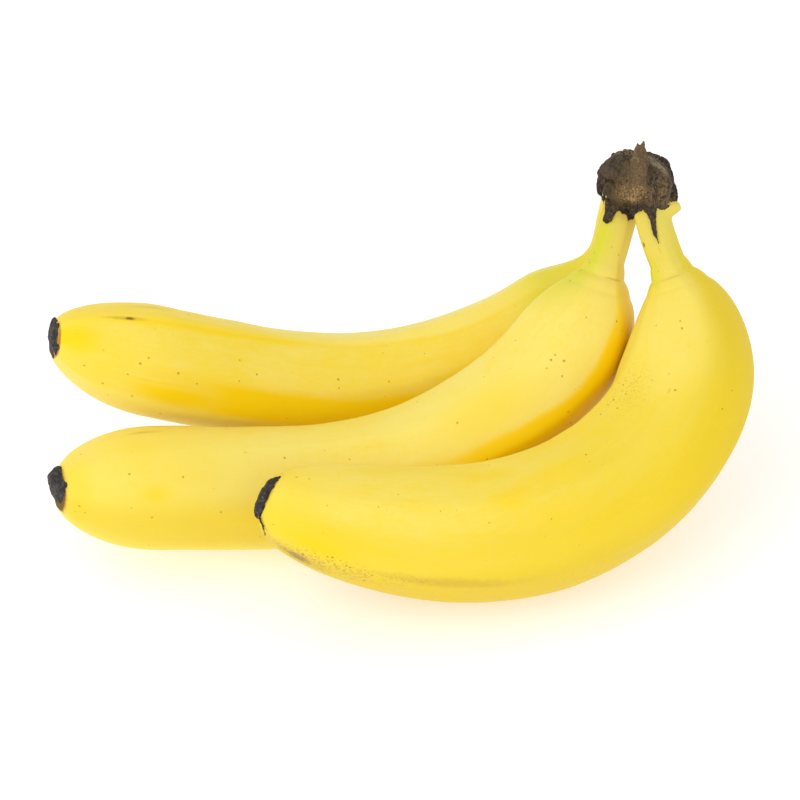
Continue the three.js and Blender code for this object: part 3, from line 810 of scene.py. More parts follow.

# What each peel shows, laid over its base tone from first to last: its own marks, and painted shade, highlights and
# floor reflection.
PEELS = {
    "back": {
        "pale": 0.42,
        "layers": (
            patch(0.19, -10, 0.08, 70, "green", 0.6),
            patch(0.30, 45, 0.10, 20, "deep_and_shade", 0.35),
            patch(0.97, 62, 0.05, 40, "ripe", 0.5),
            # Painted shade: the back fruit's lower face, sheltered by the middle fruit, is saturated yellow in a band
            # that narrows toward the blossom end.
            stripe(
                ((0, 74), (0.62, 72), (0.75, 73), (0.83, 75), (0.87, 76), (0.9, 79), (1, 84)),
                "deep_and_shade", 0.97, 15.5, 4, 0.44, 0.8, 0.04,
            ),
            patch(0.85, 79, 0.055, 9, "deep_and_shade", 0.95),
            stripe(((0, 56), (1, 58)), "deep_and_shade", 0.3, 8, 8, 0.72, 0.92, 0.05),
            stripe(((0, 66), (0.82, 66), (0.9, 70), (1, 70)), "deep_and_shade", 0.6, 1.2, 1.2, 0.84, 0.92, 0.02),
            # Painted reflection of the pale floor: the back fruit's lowest face, below its lower ridge line, is paler.
            stripe(BACK_LOW, "pale", 0.7, softness=3, start=0.74, stop=1.1, fade=0.06, output="Beyond"),
            stripe(BACK_TOP, "ripe", 0.8, softness=3, start=0.74, stop=1.1, fade=0.14, output="Before"),
            stripe(BACK_TOP, "pale", 0.8, softness=3, start=0.25, stop=0.68, fade=0.14, output="Before"),
            patch(0.992, 42, 0.03, 18, "deep_and_shade", 0.8),
            # Painted shade: a deep yellow line in the groove just under the back fruit's top ridge.
            stripe(BACK_TOP, "deep_and_shade", 0.8, 3, 3.5, 0.66, 0.95, 0.04),
            stripe(BACK_TOP, "deep_and_shade", 0.35, 2, 2.5, 0.25, 0.62, 0.08),
            patch(0.89, -18, 0.025, 4, "ochre", 0.28, 0.8, 0.9),
            patch(0.93, 10, 0.02, 2.0, "ochre", 0.6, 0.6, 0.7),
            patch(0.926, 10, 0.005, 1.5, "brown", 0.75, 0.5, 0.9),
            patch(0.985, 40, 0.02, 22, "deep_and_shade", 0.6, 0.8, 0.6),
            patch(1.0, 75, 0.0015, 60, "scorched", 0.8, 0.5, 0.6),
        ),
        "dots": (
            (0.952, 50), (0.9, 48), (0.942, 90), (0.929, 102), (0.902, 91), (0.858, 56), (0.828, 62), (0.852, 106),
            (0.872, 126), (0.919, 69), (0.969, 78), (0.94, -33), (0.84, -13), (0.909, 55), (0.77, 52), (0.745, 43),
            (0.614, 38), (0.613, 46), (0.529, 41), (0.459, 19),
        ),
    },
    "middle": {
        "pale": 0.85,
        "layers": (
            # Painted shade: the middle fruit's side toward the front fruit is duller.
            patch(0.8, 124, 0.26, 26, "strip", 0.75),
            patch(0.93, 90, 0.14, 75, "ripe", 0.5),
            patch(0.66, 112, 0.12, 14, "ripe", 0.6, raggedness=0.9),
            patch(0.5, 95, 0.12, 12, "ripe", 0.6, raggedness=1.0),
            patch(0.37, 66, 0.07, 22, "ripe", 0.7, 0.8, 1.2),
            stripe(MIDDLE_EDGE, "strip", 0.4, softness=4, start=-0.2, stop=0.14, fade=0.02, output="Beyond"),
            stripe(MIDDLE_EDGE, "ripe", 0.9, softness=4, start=0.12, stop=0.52, fade=0.03, output="Beyond"),
            # Painted shade: the orange band on the middle fruit's side that faces the front fruit.
            stripe(MIDDLE_BAND, "orange_shade", 0.98, 17, 4, 0.15, 0.44, 0.03),
            patch(0.13, 135, 0.03, 20, "deep_and_shade", 0.3),
            patch(0.02, 90, 0.07, 90, "neck", 0.7, 0.5),
            patch(0.045, 28, 0.06, 40, "green", 0.75, 0.7),
            patch(0.11, 12, 0.06, 34, "green", 0.5, 0.8),
            # Painted highlight: a pale line along the ridge of the middle fruit's neck.
            stripe(MIDDLE_TOP, "pale", 0.85, 2.2, 1.6, 0.02, 0.3, 0.03),
            stripe(MIDDLE_TOP, "strip", 0.6, softness=3, start=0.0, stop=0.3, fade=0.03, output="Before"),
            patch(0.098, 112, 0.0012, 24, "ochre", 0.5, 0.6, 0.5),
            patch(0.883, 88, 0.018, 8, "deep_and_shade", 0.6, 0.9, 1.6),
            patch(0.9, 40, 0.025, 9, "deep_and_shade", 0.25, 0.9, 1.2),
            patch(0.888, 12, 0.018, 3, "ochre", 0.45, 0.8, 0.9),
            patch(0.995, 90, 0.02, 80, "deep_and_shade", 0.4),
            # Painted shade: fuller yellow on the middle fruit's side toward the front fruit.
            patch(0.85, 126, 0.2, 26, "amber_and_shade", 0.3),
        ),
        "dots": (
            (0.917, 101), (0.887, 110), (0.988, 111), (0.991, 127), (0.845, 72), (0.919, 68), (0.977, 19), (0.253, 89),
            (0.234, 81), (0.283, 118), (0.29, 135), (0.157, 123), (0.149, 112), (0.175, 141), (0.161, 76), (0.055, 79),
            (0.063, 107), (0.409, 104), (0.698, 53), (0.755, 47), (0.791, 104), (0.245, 71), (0.259, 73), (0.235, 71),
            (0.1, 12), (0.082, 8), (0.12, 20), (0.07, 20), (0.98, 120), (0.42, 60), (0.6, 60),
        ),
    },
    "front": {
        "pale": 0.42,
        "layers": (
            patch(0.35, 100, 0.3, 80, "amber_and_shade", 0.5),
            patch(0.2, 65, 0.11, 34, "pale", 0.55),
            patch(0.14, 100, 0.03, 22, "pale", 0.4),
            # Painted shade: the front fruit's far side, away from the light, is deeper and fuller yellow.
            patch(0.62, 130, 0.4, 24, "deep_and_shade", 0.4),
            patch(0.55, 126, 0.5, 26, "amber_and_shade", 0.35),
            patch(0.72, 160, 0.24, 18, "amber_and_shade", 0.7),
            # Painted shade: the front fruit turns a duller yellow beyond its lower ridge line, on its underside.
            stripe(FRONT_LOW, "strip", 0.95, softness=18, start=0.15, stop=1.1, fade=0.05, output="Beyond"),
            patch(0.674, 45, 0.04, 9, "deep_and_shade", 0.4, 0.9, 1.4),
            patch(0.569, 66, 0.05, 10, "deep_and_shade", 0.45, 0.9, 1.4),
            patch(0.655, 76, 0.03, 10, "deep_and_shade", 0.55, 0.9, 1.4),
            patch(0.60, 96, 0.05, 9, "deep_and_shade", 0.35, 0.9, 1.4),
            patch(0.30, 140, 0.14, 16, "deep_and_shade", 0.4, 0.8, 1.2),
            patch(0.94, 130, 0.09, 22, "deep_and_shade", 0.5),
            patch(0.99, 90, 0.05, 50, "ripe", 0.6),
            # Painted highlight: a pale line along the front fruit's inner ridge.
            stripe(FRONT_TOP, "pale", 0.7, 3, 3, 0.13, 0.97, 0.03),
            patch(0.04, 90, 0.075, 110, "neck", 0.85, 0.5),
            patch(0.105, 20, 0.025, 24, "green", 0.5),
            patch(0.1, 128, 0.04, 14, "green", 0.35),
            # Painted shade: fuller yellow on the far side of the front fruit's neck.
            patch(0.25, 138, 0.16, 26, "amber_and_shade", 0.6),
            patch(0.119, 72, 0.0012, 26, "ochre", 0.28, 0.8, 0.5),
            patch(0.93, 138, 0.03, 7, "deep_and_shade", 0.6, 0.9, 0.8),
            patch(0.943, 171, 0.035, 11, "ochre", 0.3, 0.8, 0.9),
            patch(0.943, 170, 0.016, 6.5, "bruise", 0.75, 0.7, 1.1),
            patch(0.92, 162, 0.045, 13, "scorched", 0.55, 0.9, 0.9, True),
            patch(0.86, 157, 0.05, 9, "ochre", 0.5, 0.9, 0.9, True),
            patch(0.74, 147, 0.075, 4.5, "ochre", 0.42, 0.8, 0.7),
            patch(0.79, 147, 0.03, 4.0, "ochre", 0.5, 0.9, 0.9, True),
            patch(0.34, 40, 0.06, 18, "ochre", 0.3, 0.9, 0.9, True),
            patch(0.316, 77, 0.004, 0.8, "ochre", 0.4, 0.6, 0.9),
            patch(0.06, 19, 0.004, 4, "brown", 0.8, 0.5, 0.4),
            patch(0.074, 66, 0.005, 2.5, "scorched", 0.22, 0.9, 0.6),
        ),
        "dots": (
            (0.926, 147), (0.912, 145), (0.906, 144), (0.895, 144), (0.885, 148), (0.879, 149), (0.865, 154),
            (0.847, 152), (0.852, 165), (0.926, 168), (0.936, 158), (0.922, 40), (0.96, 56), (0.977, 54),
            (0.292, 16), (0.332, 35), (0.373, 34), (0.389, 32), (0.416, 33), (0.348, 61), (0.351, 42),
            (0.387, 43), (0.337, 48), (0.191, 73), (0.204, 75), (0.193, 47), (0.103, 39), (0.312, 81),
            (0.31, 127), (0.5, 60), (0.6, 100),
        ),
    },
}
DOT_RADIUS = 0.37


def peel_material(name, groups, seed):
    """Ripe peel with freckles, tinted necks, charred ends and a fruit's own marks, plus painted ridge highlights,
    painted shade where the fruits face each other and on their undersides, and a painted floor reflection.
    """
    look = bpy.context.scene.banana_peel
    peel, fruit = PEELS[name], FRUITS[name]
    material, graph, surface, point = new_material(f"peel_{name}")
    peel_place, ridge = graph.attribute("peel", "Vector"), graph.attribute("ridge")
    along, round_x, round_y = graph.split(peel_place)
    wobble = graph.noise(point, 70.0, 2.0, 0.5, seed + 5) - 0.5
    angle = graph.math("ARCTAN2", round_y, round_x) + wobble * 0.09
    fine = graph.noise(point, 800.0, 3.0, 0.7, seed + 3)
    coarse = graph.noise(point, 130.0, 4.0, 0.7, seed + 4)
    stipple = graph.step(graph.noise(point, 1500.0, 1.0, 0.5, seed + 6), 0.5, 0.64)

    def use(tree, output, **values):
        made = graph.node("ShaderNodeGroup", node_tree=tree)
        for key, value in values.items():
            graph.feed(made.inputs[key], value)
        return graph.wrap(made.outputs[output])

    def line_angle(line):
        made = graph.node("ShaderNodeFloatCurve", {"Value": along})
        curve = made.mapping.curves[0]
        curve.points[0].location = (line[0][0], (line[0][1] + 180) / 360)
        curve.points[-1].location = (line[-1][0], (line[-1][1] + 180) / 360)
        for share, degrees in line[1:-1]:
            curve.points.new(share, (degrees + 180) / 360)
        made.mapping.update()
        return graph.wrap(made.outputs[0]) * (2 * math.pi) - math.pi

    broad = graph.noise(point, 24.0, 2.0, 0.5, seed)
    streaked = graph.noise(graph.combine(along * 2, round_x, round_y), 6.0, 4.0, 0.6, seed)
    mottled = graph.noise(point, 60.0, 4.0, 0.65, seed + 8)
    threads = graph.noise(graph.combine(along * 2.5, round_x, round_y), 22.0, 3.0, 0.6, seed + 2)
    pale = peel["pale"] + (broad - 0.5) * 0.7 + (streaked - 0.5) * 0.8 + (mottled - 0.5) * 0.7 + (threads - 0.5) * 0.7
    colour = graph.mix(graph.step(pale, 0.0, 1.0), look.ripe, look.pale)
    # Painted highlight: the peel turns paler along its ridges.
    colour = graph.mix(graph.step(ridge, 0.25, 0.9) * 0.2, colour, look.pale)
    for layer in peel["layers"]:
        values = dict(layer["inputs"], Along=along, Angle=angle)
        if layer["kind"] == "patch":
            values["Ragged"] = fine * 0.5 + coarse * 0.5
            mask = use(groups["patch"], "Mask", **values)
            if layer["stippled"]:
                mask = mask * stipple
        else:
            values["Around"] = line_angle(layer["line"])
            mask = use(groups["stripe"], layer["output"], **values)
        colour = graph.mix(mask * layer["strength"], colour, getattr(look, layer["tone"]))
    colour = graph.mix(graph.step(fine * 0.55 + coarse * 0.45, 0.46, 0.68) * 0.3, colour, look.deep_and_shade)

    # Dots stand at given places; freckles are scattered.
    girth = float(fruit["belly"])
    stretched = graph.vector("MULTIPLY", peel_place, (float(fruit["length"]), girth, girth))
    nearest = 99.0
    for i, (share, degrees) in enumerate(peel["dots"]):
        centre = (share * fruit["length"], girth * math.cos(degrees * DEGREE), girth * math.sin(degrees * DEGREE))
        size = DOT_RADIUS * (0.65 + 0.6 * ((i * 0.37) % 1))
        away = graph.vector("DISTANCE", stretched, centre, output=1) / size
        nearest = graph.math("MINIMUM", away, nearest)
    colour = graph.mix(graph.step(nearest + (fine - 0.5) * 0.9, 1.25, 0.2) * 0.7, colour, look.freckle)
    for spacing, size, amount, strength in ((0.0043, 0.00028, 0.6, 0.5), (0.0026, 0.00015, 0.5, 0.35)):
        dots = use(groups["freckles"], "Mask", Point=point, Spacing=spacing, Size=size, Amount=amount, Seed=seed)
        colour = graph.mix(dots * strength, colour, look.freckle)
    torn = (fine - 0.5) * 0.004 + (coarse - 0.5) * 0.003
    singed = graph.step(along + torn, 1.001, 1.005)
    colour = graph.mix(graph.step(along + torn, 0.9985, 1.002) * 0.6, colour, look.scorched)
    colour = graph.mix(singed * 0.8, colour, look.brown)
    rooted = graph.step(along + torn * 0.4, 0.02, 0.004)
    colour = graph.mix(rooted * 0.35, colour, look.ochre)

    graph.feed(surface.inputs["Base Color"], colour)
    graph.feed(surface.inputs["Roughness"], graph.step(coarse, 0.3, 0.7, 0.42, 0.54) + singed * 0.35)
    surface.inputs["Specular IOR Level"].default_value = 0.15
    graph.bump(surface, fine * 0.5 + coarse * 0.5 + streaked * 0.3, 0.25, 0.0002)
    return material


# ---------- dried pieces ----------


def dried_relief_tree():
    """Tree that roughens a dried piece with lumps and with fibres that run one way."""
    graph, given, end = new_group("Dried Relief", "GeometryNodeTree", [
        ("Mesh", "geometry", None), ("Lump Height", "float", 0.0004), ("Lump Scale", "float", 400.0),
        ("Fibre Height", "float", 0.0003), ("Fibre Scale", "float", 900.0), ("Stretch", "float", 0.8),
        ("Grain Direction", "vector", (0.0, 0.0, 1.0)), ("Seed", "float", 1.0), ("Material", "material", None),
    ], [("Dried", "geometry")])
    place = graph.wrap(graph.node("GeometryNodeInputPosition").outputs[0])
    normal = graph.wrap(graph.node("GeometryNodeInputNormal").outputs[0])
    grain = graph.vector("NORMALIZE", given["Grain Direction"])
    reached = graph.vector("DOT_PRODUCT", place, grain, output=1)
    squeezed = graph.vector("SUBTRACT", place, graph.scale(grain, reached * given["Stretch"]))
    lumps = graph.noise(place, given["Lump Scale"], 3.0, 0.6, given["Seed"]) - 0.5
    fibres = graph.noise(squeezed, given["Fibre Scale"], 2.0, 0.6, given["Seed"] + 7) - 0.5
    height = lumps * given["Lump Height"] * 2 + fibres * given["Fibre Height"] * 2
    stored = graph.store(given["Mesh"], "relief", height * 1000)
    moved = graph.node("GeometryNodeSetPosition", {"Geometry": stored, "Offset": graph.scale(normal, height)})
    return graph.finish(moved, given["Material"], end)


def resampled(rows, count):
    """Each column of a table of stations, read at evenly spaced steps along it."""
    rows = np.array(rows, float)
    steps = np.linspace(0, len(rows) - 1, count)
    return [np.interp(steps, range(len(rows)), column) for column in rows.T]


def end_frame(fruit):
    """Middle of a fruit's blossom end and its directions, in millimetres."""
    place, along, inner, viewer = (values[0] for values in spine(fruit, np.array((1.0,))))
    return place / MM, along, inner, viewer


def blossom_rings(name):
    """Rings of the charred stub that stands on a fruit's blunt end."""
    blossom, (slope, lean) = BLOSSOMS[name], ENDS[name]
    place, along, inner, viewer = end_frame(FRUITS[name])
    angles = np.linspace(0, 2 * math.pi, 110, endpoint=False)
    rings = []
    for share, width in zip(*resampled(BLOSSOM_PROFILE, 44)):
        ragged = 1 + 0.07 * np.cos(5 * angles - share * 2) + 0.04 * np.sin(11 * angles + 4 * share)
        sideways = blossom["shift"] + blossom["tall"] * width * ragged * np.cos(angles)
        nearer = blossom["wide"] * width * ragged * np.sin(angles)
        reached = blossom["start"] + share * blossom["length"] * (1 + blossom["slope"] * sideways)
        reached = reached + slope * sideways + lean * nearer
        rings.append(place + np.outer(reached, along) + np.outer(sideways, inner) + np.outer(nearer, viewer))
    return rings


def tube_rings(points, thickness, sides=10):
    """Rings of a thin tapering thread through a few points."""
    line = np.stack(resampled(points, 24), axis=1)
    line[1:-1] = (line[:-2] + line[1:-1] * 2 + line[2:]) / 4
    heading = np.gradient(line, axis=0)
    heading /= np.linalg.norm(heading, axis=1)[:, None]
    first = np.cross(heading, (0.0, 0.0, 1.0))
    first /= np.linalg.norm(first, axis=1)[:, None]
    second = np.cross(heading, first)
    angles = np.linspace(0, 2 * math.pi, sides, endpoint=False)
    widths = thickness * (1 - 0.7 * np.linspace(0, 1, len(line)) ** 2)
    return [
        place + width * (np.outer(np.cos(angles), one) + np.outer(np.sin(angles), two))
        for place, width, one, two in zip(line, widths, first, second)
    ]


def blossom_material():
    """Charred stub: black with a grey-brown crust on the lumps, partly a painted highlight on their raised tops."""
    look = bpy.context.scene.banana_blossom
    material, graph, surface, point = new_material("charred_blossom")
    crumbs = graph.noise(point, 1300.0, 3.0, 0.6, 2.0)
    flakes = graph.noise(point, 700.0, 3.0, 0.6, 3.0)
    # The grey crust follows the raised lumps: partly a painted highlight on their tops.
    crust = graph.step(crumbs * 0.8 + graph.attribute("relief") * 0.35, 0.5, 0.68) * 0.8
    colour = graph.mix(graph.step(flakes, 0.5, 0.62), look.char, look.husk)
    graph.feed(surface.inputs["Base Color"], graph.mix(crust, colour, look.ash_and_highlight))
    graph.feed(surface.inputs["Roughness"], graph.step(crumbs, 0.3, 0.7, 0.45, 0.8))
    graph.bump(surface, crumbs * 0.5 + flakes * 0.5, 1.0, 0.0006)
    return material


def crown_axes():
    """Directions of the crown: across to the left, along the row of stalks to the front, and up."""
    row, up = np.array(CROWN["row"], float), np.array(CROWN["up"], float)
    row /= np.linalg.norm(row)
    up -= row * (up @ row)
    up /= np.linalg.norm(up)
    return np.array((-np.cross(up, row), row, up))


def crown_ring(axes, across, row, up):
    """Points of one level ring, given across the crown and along its row of stalks."""
    return np.array(CROWN["centre"]) + np.stack((across, row, np.full(len(across), up)), axis=1) @ axes


def crown_pad_rings(axes):
    """Body of the crown: a low lopsided dome with worn ridges down its sides."""
    angles = np.linspace(0, 360, 96, endpoint=False)
    section = 1 + 0.8 * (ridged(CROWN["ridges"], CROWN["reach"], angles) - 1)
    return [
        crown_ring(
            axes, shift + CROWN["half_width"] * width * section * np.cos(angles * DEGREE),
            CROWN["half_length"] * width * section * np.sin(angles * DEGREE), CROWN["half_height"] * height,
        )
        for height, width, shift in zip(*resampled(CROWN["levels"], 36))
    ]


def spar_rings(axes, stations, flatness=0.6):
    """Rings of a fibrous spar through stations given as across, along, up and half width."""
    angles = np.linspace(0, 2 * math.pi, 28, endpoint=False)
    return [
        crown_ring(axes, across + width * np.cos(angles), row + flatness * width * np.sin(angles), up)
        for across, row, up, width in zip(*resampled(stations, 18))
    ]


def skirt_rings(name):
    """Dry skirt of the crown round one stalk, with its pointed, blunt and dripping tongues."""
    fruit = FRUITS[name]
    edge = np.array(SKIRT_EDGES[name], float)
    angles = np.linspace(0, 360, 180, endpoint=False)
    bottom = np.interp(angles, edge[:, 0], edge[:, 1], period=360)
    bottom = bottom + 0.22 * np.sin(angles * DEGREE * 23) * np.sin(angles * DEGREE * 5 + 1)
    rings = []
    for share in np.linspace(0, 1, 40):
        reached = -ROOT_SINK / 2 + (bottom + ROOT_SINK / 2) * share
        places, _, inner, viewer = spine(fruit, reached / fruit["length"])
        girth = girths(fruit, np.clip(reached / fruit["length"], 0, 1)) / MM
        reach = (girth + SKIRT_THICK + (SKIRT_THIN - SKIRT_THICK) * share)[:, None]
        around = angles[:, None] * DEGREE
        rings.append(places / MM + reach * (np.cos(around) * inner + np.sin(around) * viewer))
    return rings


def hollow_crown(mesh, axes):
    """Sinks the two faces of the crown's front and raises a worn rim round its top."""
    count = len(mesh.vertices)
    points, normals = np.empty(count * 3, np.float32), np.empty(count * 3, np.float32)
    mesh.vertices.foreach_get("co", points)
    mesh.vertex_normals.foreach_get("vector", normals)
    points, normals = points.reshape(-1, 3), normals.reshape(-1, 3)
    across, row, up = ((points / MM - np.array(CROWN["centre"])) @ axes.T).T
    keel = across - 3.7 + 0.27 * up
    front = smooth_step((row - 3) / 7) * smooth_step((up + 6.5) / 3) * smooth_step((7.6 - up) / 2)
    hollow = 1.5 * np.exp(-(((keel - 5.4) / 2.6) ** 2))
    hollow += 1.2 * np.exp(-(((keel + 5.4) / 2.7) ** 2)) * smooth_step((up + 0.3) / 2.6)
    raised = 0.5 * np.exp(-((keel / 1.2) ** 2))
    top = smooth_step((up - 4.2) / 1.6) * smooth_step((7.4 - up) / 1.5) * (np.abs(keel) > 1.5)
    moved = front * (raised - hollow) + top * 0.5
    points = points + normals * (moved * MM)[:, None]
    mesh.vertices.foreach_set("co", points.astype(np.float32).ravel())
    mesh.update()


def crown_material(axes):
    """Dried crown: brown flesh, tan bare fibres up the keel and charred rims."""
    look = bpy.context.scene.banana_crown
    material, graph, surface, point = new_material("dried_crown")
    centred = graph.vector("SUBTRACT", point, tuple(float(value) * MM for value in CROWN["centre"]))
    across, row, up = (
        graph.vector("DOT_PRODUCT", centred, tuple(float(v) for v in axis), output=1) * 1000 for axis in axes
    )
    crumbs = graph.noise(point, 1100.0, 3.0, 0.7, 5.0)
    grains = graph.noise(point, 2100.0, 1.0, 0.5, 8.0)
    fibres = graph.noise(graph.combine(across, row, up * 0.2 + across * 0.2), 1.9, 3.0, 0.6, 6.0)
    patches = graph.noise(point, 260.0, 3.0, 0.6, 7.0)
    front = graph.step(row, 2.0, 8.0)

    def spot(centre_across, centre_up, half_across, half_up):
        beside, above = (across - centre_across) / half_across, (up - centre_up) / half_up
        away = graph.math("SQRT", beside * beside + above * above) + (crumbs - 0.5) * 1.2
        return graph.step(away, 1.35, 0.65) * front

    keel = graph.math("ABSOLUTE", across - 3.7 + up * 0.27)
    bare = graph.step(keel, 3.6, 1.4) * front * graph.step(up, -6.5, -3.5)
    grainy = graph.step(grains * 0.6 + crumbs * 0.4, 0.43, 0.6)
    streaked = graph.step(fibres * 0.7 + crumbs * 0.3, 0.48, 0.6)
    # A pale streak slants down the right face.
    beside = (across + 1.45) * 0.711 - (up - 7.57) * 0.703 + (crumbs - 0.5) * 2
    reached = (across + 1.45) * -0.703 - (up - 7.57) * 0.711
    streak = graph.step(graph.math("ABSOLUTE", beside), 1.9, 0.6)
    streak = streak * graph.step(reached, -0.5, 1.0) * graph.step(reached, 7.6, 5.6)
    threads = graph.noise(graph.combine(beside, reached * 0.15, row * 0.3), 2.6, 2.0, 0.6, 9.0)
    left_rim = graph.math("ABSOLUTE", across - 5.2 + (crumbs - 0.5) * 2)
    sides = graph.step(graph.math("ABSOLUTE", across - 1.4), 8.6, 10.6) * 0.9
    lower = graph.step(up, -4.6, -6.6) * 0.4
    upper = graph.step(up, 4.0, 7.0) * graph.step(across, -2.0, -4.5) * 0.8
    rim = graph.math("MAXIMUM", graph.math("MAXIMUM", sides, lower), upper) * graph.step(crumbs, 0.62, 0.5)
    colour = graph.paint(
        graph.mix(graph.step(patches * 0.35 + crumbs * 0.65, 0.4, 0.6), look.dark, look.brown),
        (graph.step(across, 5.0, 8.0) * front * 0.5, look.brown),
        (bare * graph.step(crumbs, 0.3, 0.45), look.brown),
        (bare * grainy * 0.7, look.tan),
        (spot(3.6, -2.2, 3.4, 2.8) * grainy * 0.8, look.bare),
        (spot(-4.2, -1.5, 5.0, 5.0) * streaked * 0.8, look.tan),
        (spot(9.4, 1.0, 3.4, 5.0) * streaked * 0.4, look.tan),
        (streak * front * graph.step(threads, 0.38, 0.6) * 0.9, look.ash_and_highlight),
        # Painted highlight: grey on the ragged top-left rim.
        (graph.step(left_rim, 3.0, 2.0) * graph.step(up, 5.8, 6.8) * grainy * 0.35, look.ash_and_highlight),
        (rim, look.dark),
    )
    graph.feed(surface.inputs["Base Color"], colour)
    graph.feed(surface.inputs["Roughness"], graph.step(crumbs, 0.3, 0.7, 0.7, 0.95))
    surface.inputs["Specular IOR Level"].default_value = 0.2
    height = fibres * 0.35 + crumbs * 0.35 + grains * 0.3 + graph.attribute("relief") * 0.1
    graph.bump(surface, height, 1.0, 0.0006)
    return material


# ---------- operators ----------


class BANANA_OT_fruits(Operator):
    """Sweep the three fruits along their spines and paint their peel"""

    bl_idname = "bananas.make_fruits"
    bl_label = "Make Fruits"

    def execute(self, context):
        look = context.scene.banana_peel
        sweep = peel_sweep_tree()
        groups = {"patch": patch_group(), "stripe": stripe_group(), "freckles": freckle_group()}
        for seed, (name, fruit) in enumerate(FRUITS.items(), start=1):
            fruit_object = spine_object(f"fruit_{name}", fruit)
            values = {
                "Sides": look.sides, "Ridge Strength": RIDGE_STRENGTH, "Ridge Sharpness": look.sharpness,
                "Waviness": look.waviness, "Pucker": look.pucker, "Crease": look.crease,
                "Crease Place": fruit["crease"], "Seed": float(seed),
                "Ear Height": EAR["height"] if name == "front" else 0.0,
                "Ear Angle": EAR["angle"] * DEGREE, "Ear Place": EAR["place"],
                "End Slope": ENDS[name][0], "End Lean": ENDS[name][1],
                "Material": peel_material(name, groups, float(seed)),
            }
            for i, (angle, distance) in enumerate(facets(fruit), start=1):
                values[f"Facet {i} Angle"] = angle
                values[f"Facet {i} Distance"] = distance
            use_tree(fruit_object, sweep, values)
            finish_piece(fruit_object, "skin", f"banana_{name}")
        return {"FINISHED"}


class BANANA_OT_blossoms(Operator):
    """Make the charred blossom stub at the end of each fruit"""

    bl_idname = "bananas.make_blossoms"
    bl_label = "Make Blossom Stubs"

    def execute(self, context):
        look = context.scene.banana_blossom
        relief = dried_relief_tree()
        material = blossom_material()
        for seed, name in enumerate(BLOSSOMS, start=11):
            shells = [blossom_rings(name)]
            if name == "front":
                place, along, inner, viewer = end_frame(FRUITS[name])
                hair = [place + a * along + b * inner + c * viewer for a, b, c in HAIR]
                shells.append(tube_rings(hair, HAIR_THICKNESS))
            stub = fuse(loft_object(f"blossom_{name}", *shells), BLOSSOM_CELL)
            use_tree(stub, relief, {
                "Lump Height": look.roughness, "Lump Scale": 380.0, "Fibre Height": 0.0004, "Fibre Scale": 900.0,
                "Seed": float(seed), "Material": material,
            })
            finish_piece(stub, "blossom", f"blossom_tip_{name}")
        return {"FINISHED"}


class BANANA_OT_crown(Operator):
    """Fuse the crown from its pad, spars, rims and skirts and cover it with dry fibres"""

    bl_idname = "bananas.make_crown"
    bl_label = "Make Crown"

    def execute(self, context):
        look = context.scene.banana_crown
        axes = crown_axes()
        spars = [spar_rings(axes, stations) for stations in (KEEL, *PRONGS)]
        rims = [
            tube_rings(np.array(CROWN["centre"]) + np.array(rim) @ axes, thickness)
            for rim, thickness in zip(RIMS, RIM_THICKNESS)
        ]
        skirts = [skirt_rings(name) for name in FRUITS]
        crown = fuse(loft_object("crown_dried", crown_pad_rings(axes), *spars, *rims, *skirts), look.grain)
        hollow_crown(crown.data, axes)
        use_tree(crown, dried_relief_tree(), {
            "Lump Height": 0.0006, "Lump Scale": 420.0, "Fibre Height": look.fibre, "Fibre Scale": 900.0,
            "Grain Direction": tuple(float(value) for value in axes[2]), "Stretch": 0.75,
            "Seed": 3.0, "Material": crown_material(axes),
        })
        finish_piece(crown, "crown", "crown")
        return {"FINISHED"}


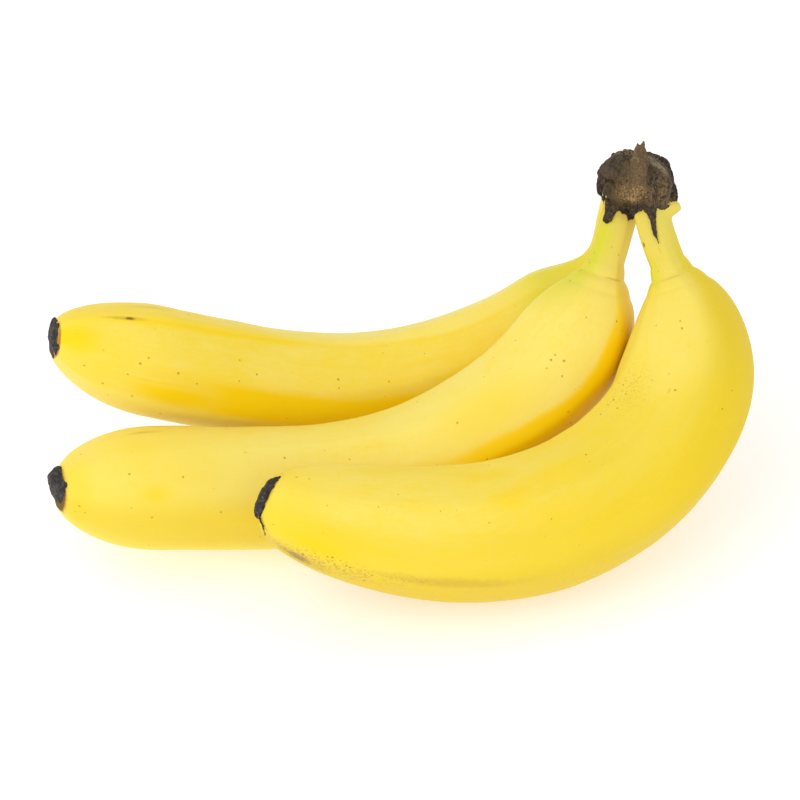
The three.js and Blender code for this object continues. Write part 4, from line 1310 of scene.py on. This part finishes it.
class BANANA_OT_stage(Operator):
    """Lay the pale floor and set the lights and the camera"""

    bl_idname = "bananas.set_stage"
    bl_label = "Set Stage"

    def execute(self, context):
        scene, look = context.scene, context.scene.banana_stage
        half = FLOOR_HALF
        corners = [(-half, -half, 0), (half, -half, 0), (half, half, 0), (-half, half, 0)]
        floor = new_object("floor", corners, (), [(0, 1, 2, 3)])
        material, graph, surface, point = new_material("floor")
        tone = tuple(look.floor)
        darker = tuple(0.985 * part for part in tone)
        graph.feed(surface.inputs["Base Color"], graph.mix(graph.noise(point, 3.0), tone, darker))
        surface.inputs["Roughness"].default_value = 0.9
        surface.inputs["Emission Color"].default_value = (1.0, 1.0, 1.0, 1.0)
        surface.inputs["Emission Strength"].default_value = look.glow
        floor.data.materials.append(material)
        world = bpy.data.worlds.new("studio")
        world.use_nodes = True
        background = world.node_tree.nodes["Background"]
        background.inputs["Color"].default_value = (1.0, 1.0, 1.0, 1.0)
        background.inputs["Strength"].default_value = look.sky
        scene.world = world
        scene.view_settings.view_transform = "Standard"
        for name, place in SOFTBOXES.items():
            data = bpy.data.lights.new(name, "AREA")
            data.size = SOFTBOX_SIZE
            data.energy = getattr(look, name)
            light = bpy.data.objects.new(name, data)
            light.location = place
            aim = Vector(SOFTBOX_TARGET) - Vector(place)
            light.rotation_euler = aim.to_track_quat("-Z", "Y").to_euler()
            scene.collection.objects.link(light)
        data = bpy.data.cameras.new("camera")
        data.lens = CAMERA["lens"]
        data.sensor_width = CAMERA["sensor"]
        data.clip_start = 0.01
        camera = bpy.data.objects.new("camera", data)
        camera.location = CAMERA["place"]
        camera.rotation_euler = (CAMERA["tilt"] * DEGREE, 0, 0)
        scene.collection.objects.link(camera)
        scene.camera = camera
        return {"FINISHED"}


class BANANA_PT_panel(Panel):
    """Sidebar panel with the bunch's steps and values"""

    bl_idname = "BANANA_PT_panel"
    bl_label = "Bunch of Bananas"
    bl_space_type = "VIEW_3D"
    bl_region_type = "UI"
    bl_category = "Bananas"

    def draw(self, context):
        for operator, settings in STEPS:
            box = self.layout.box()
            box.operator(operator.bl_idname)
            if settings:
                group = getattr(context.scene, settings)
                for name in group.__annotations__:
                    box.prop(group, name)


STEPS = (
    (BANANA_OT_stage, "banana_stage"),
    (BANANA_OT_fruits, "banana_peel"),
    (BANANA_OT_blossoms, "banana_blossom"),
    (BANANA_OT_crown, "banana_crown"),
)
SETTINGS = {
    "banana_peel": BananaPeelSettings,
    "banana_crown": BananaCrownSettings,
    "banana_blossom": BananaBlossomSettings,
    "banana_stage": BananaStageSettings,
}


def register():
    for name, group in SETTINGS.items():
        bpy.utils.register_class(group)
        setattr(bpy.types.Scene, name, PointerProperty(type=group))
    for operator, _ in STEPS:
        bpy.utils.register_class(operator)
    bpy.utils.register_class(BANANA_PT_panel)


def unregister():
    bpy.utils.unregister_class(BANANA_PT_panel)
    for operator, _ in reversed(STEPS):
        bpy.utils.unregister_class(operator)
    for name, group in SETTINGS.items():
        delattr(bpy.types.Scene, name)
        bpy.utils.unregister_class(group)


def main():
    register()
    for operator, _ in STEPS:
        namespace, name = operator.bl_idname.split(".")
        getattr(getattr(bpy.ops, namespace), name)()


if __name__ == "__main__":
    main()
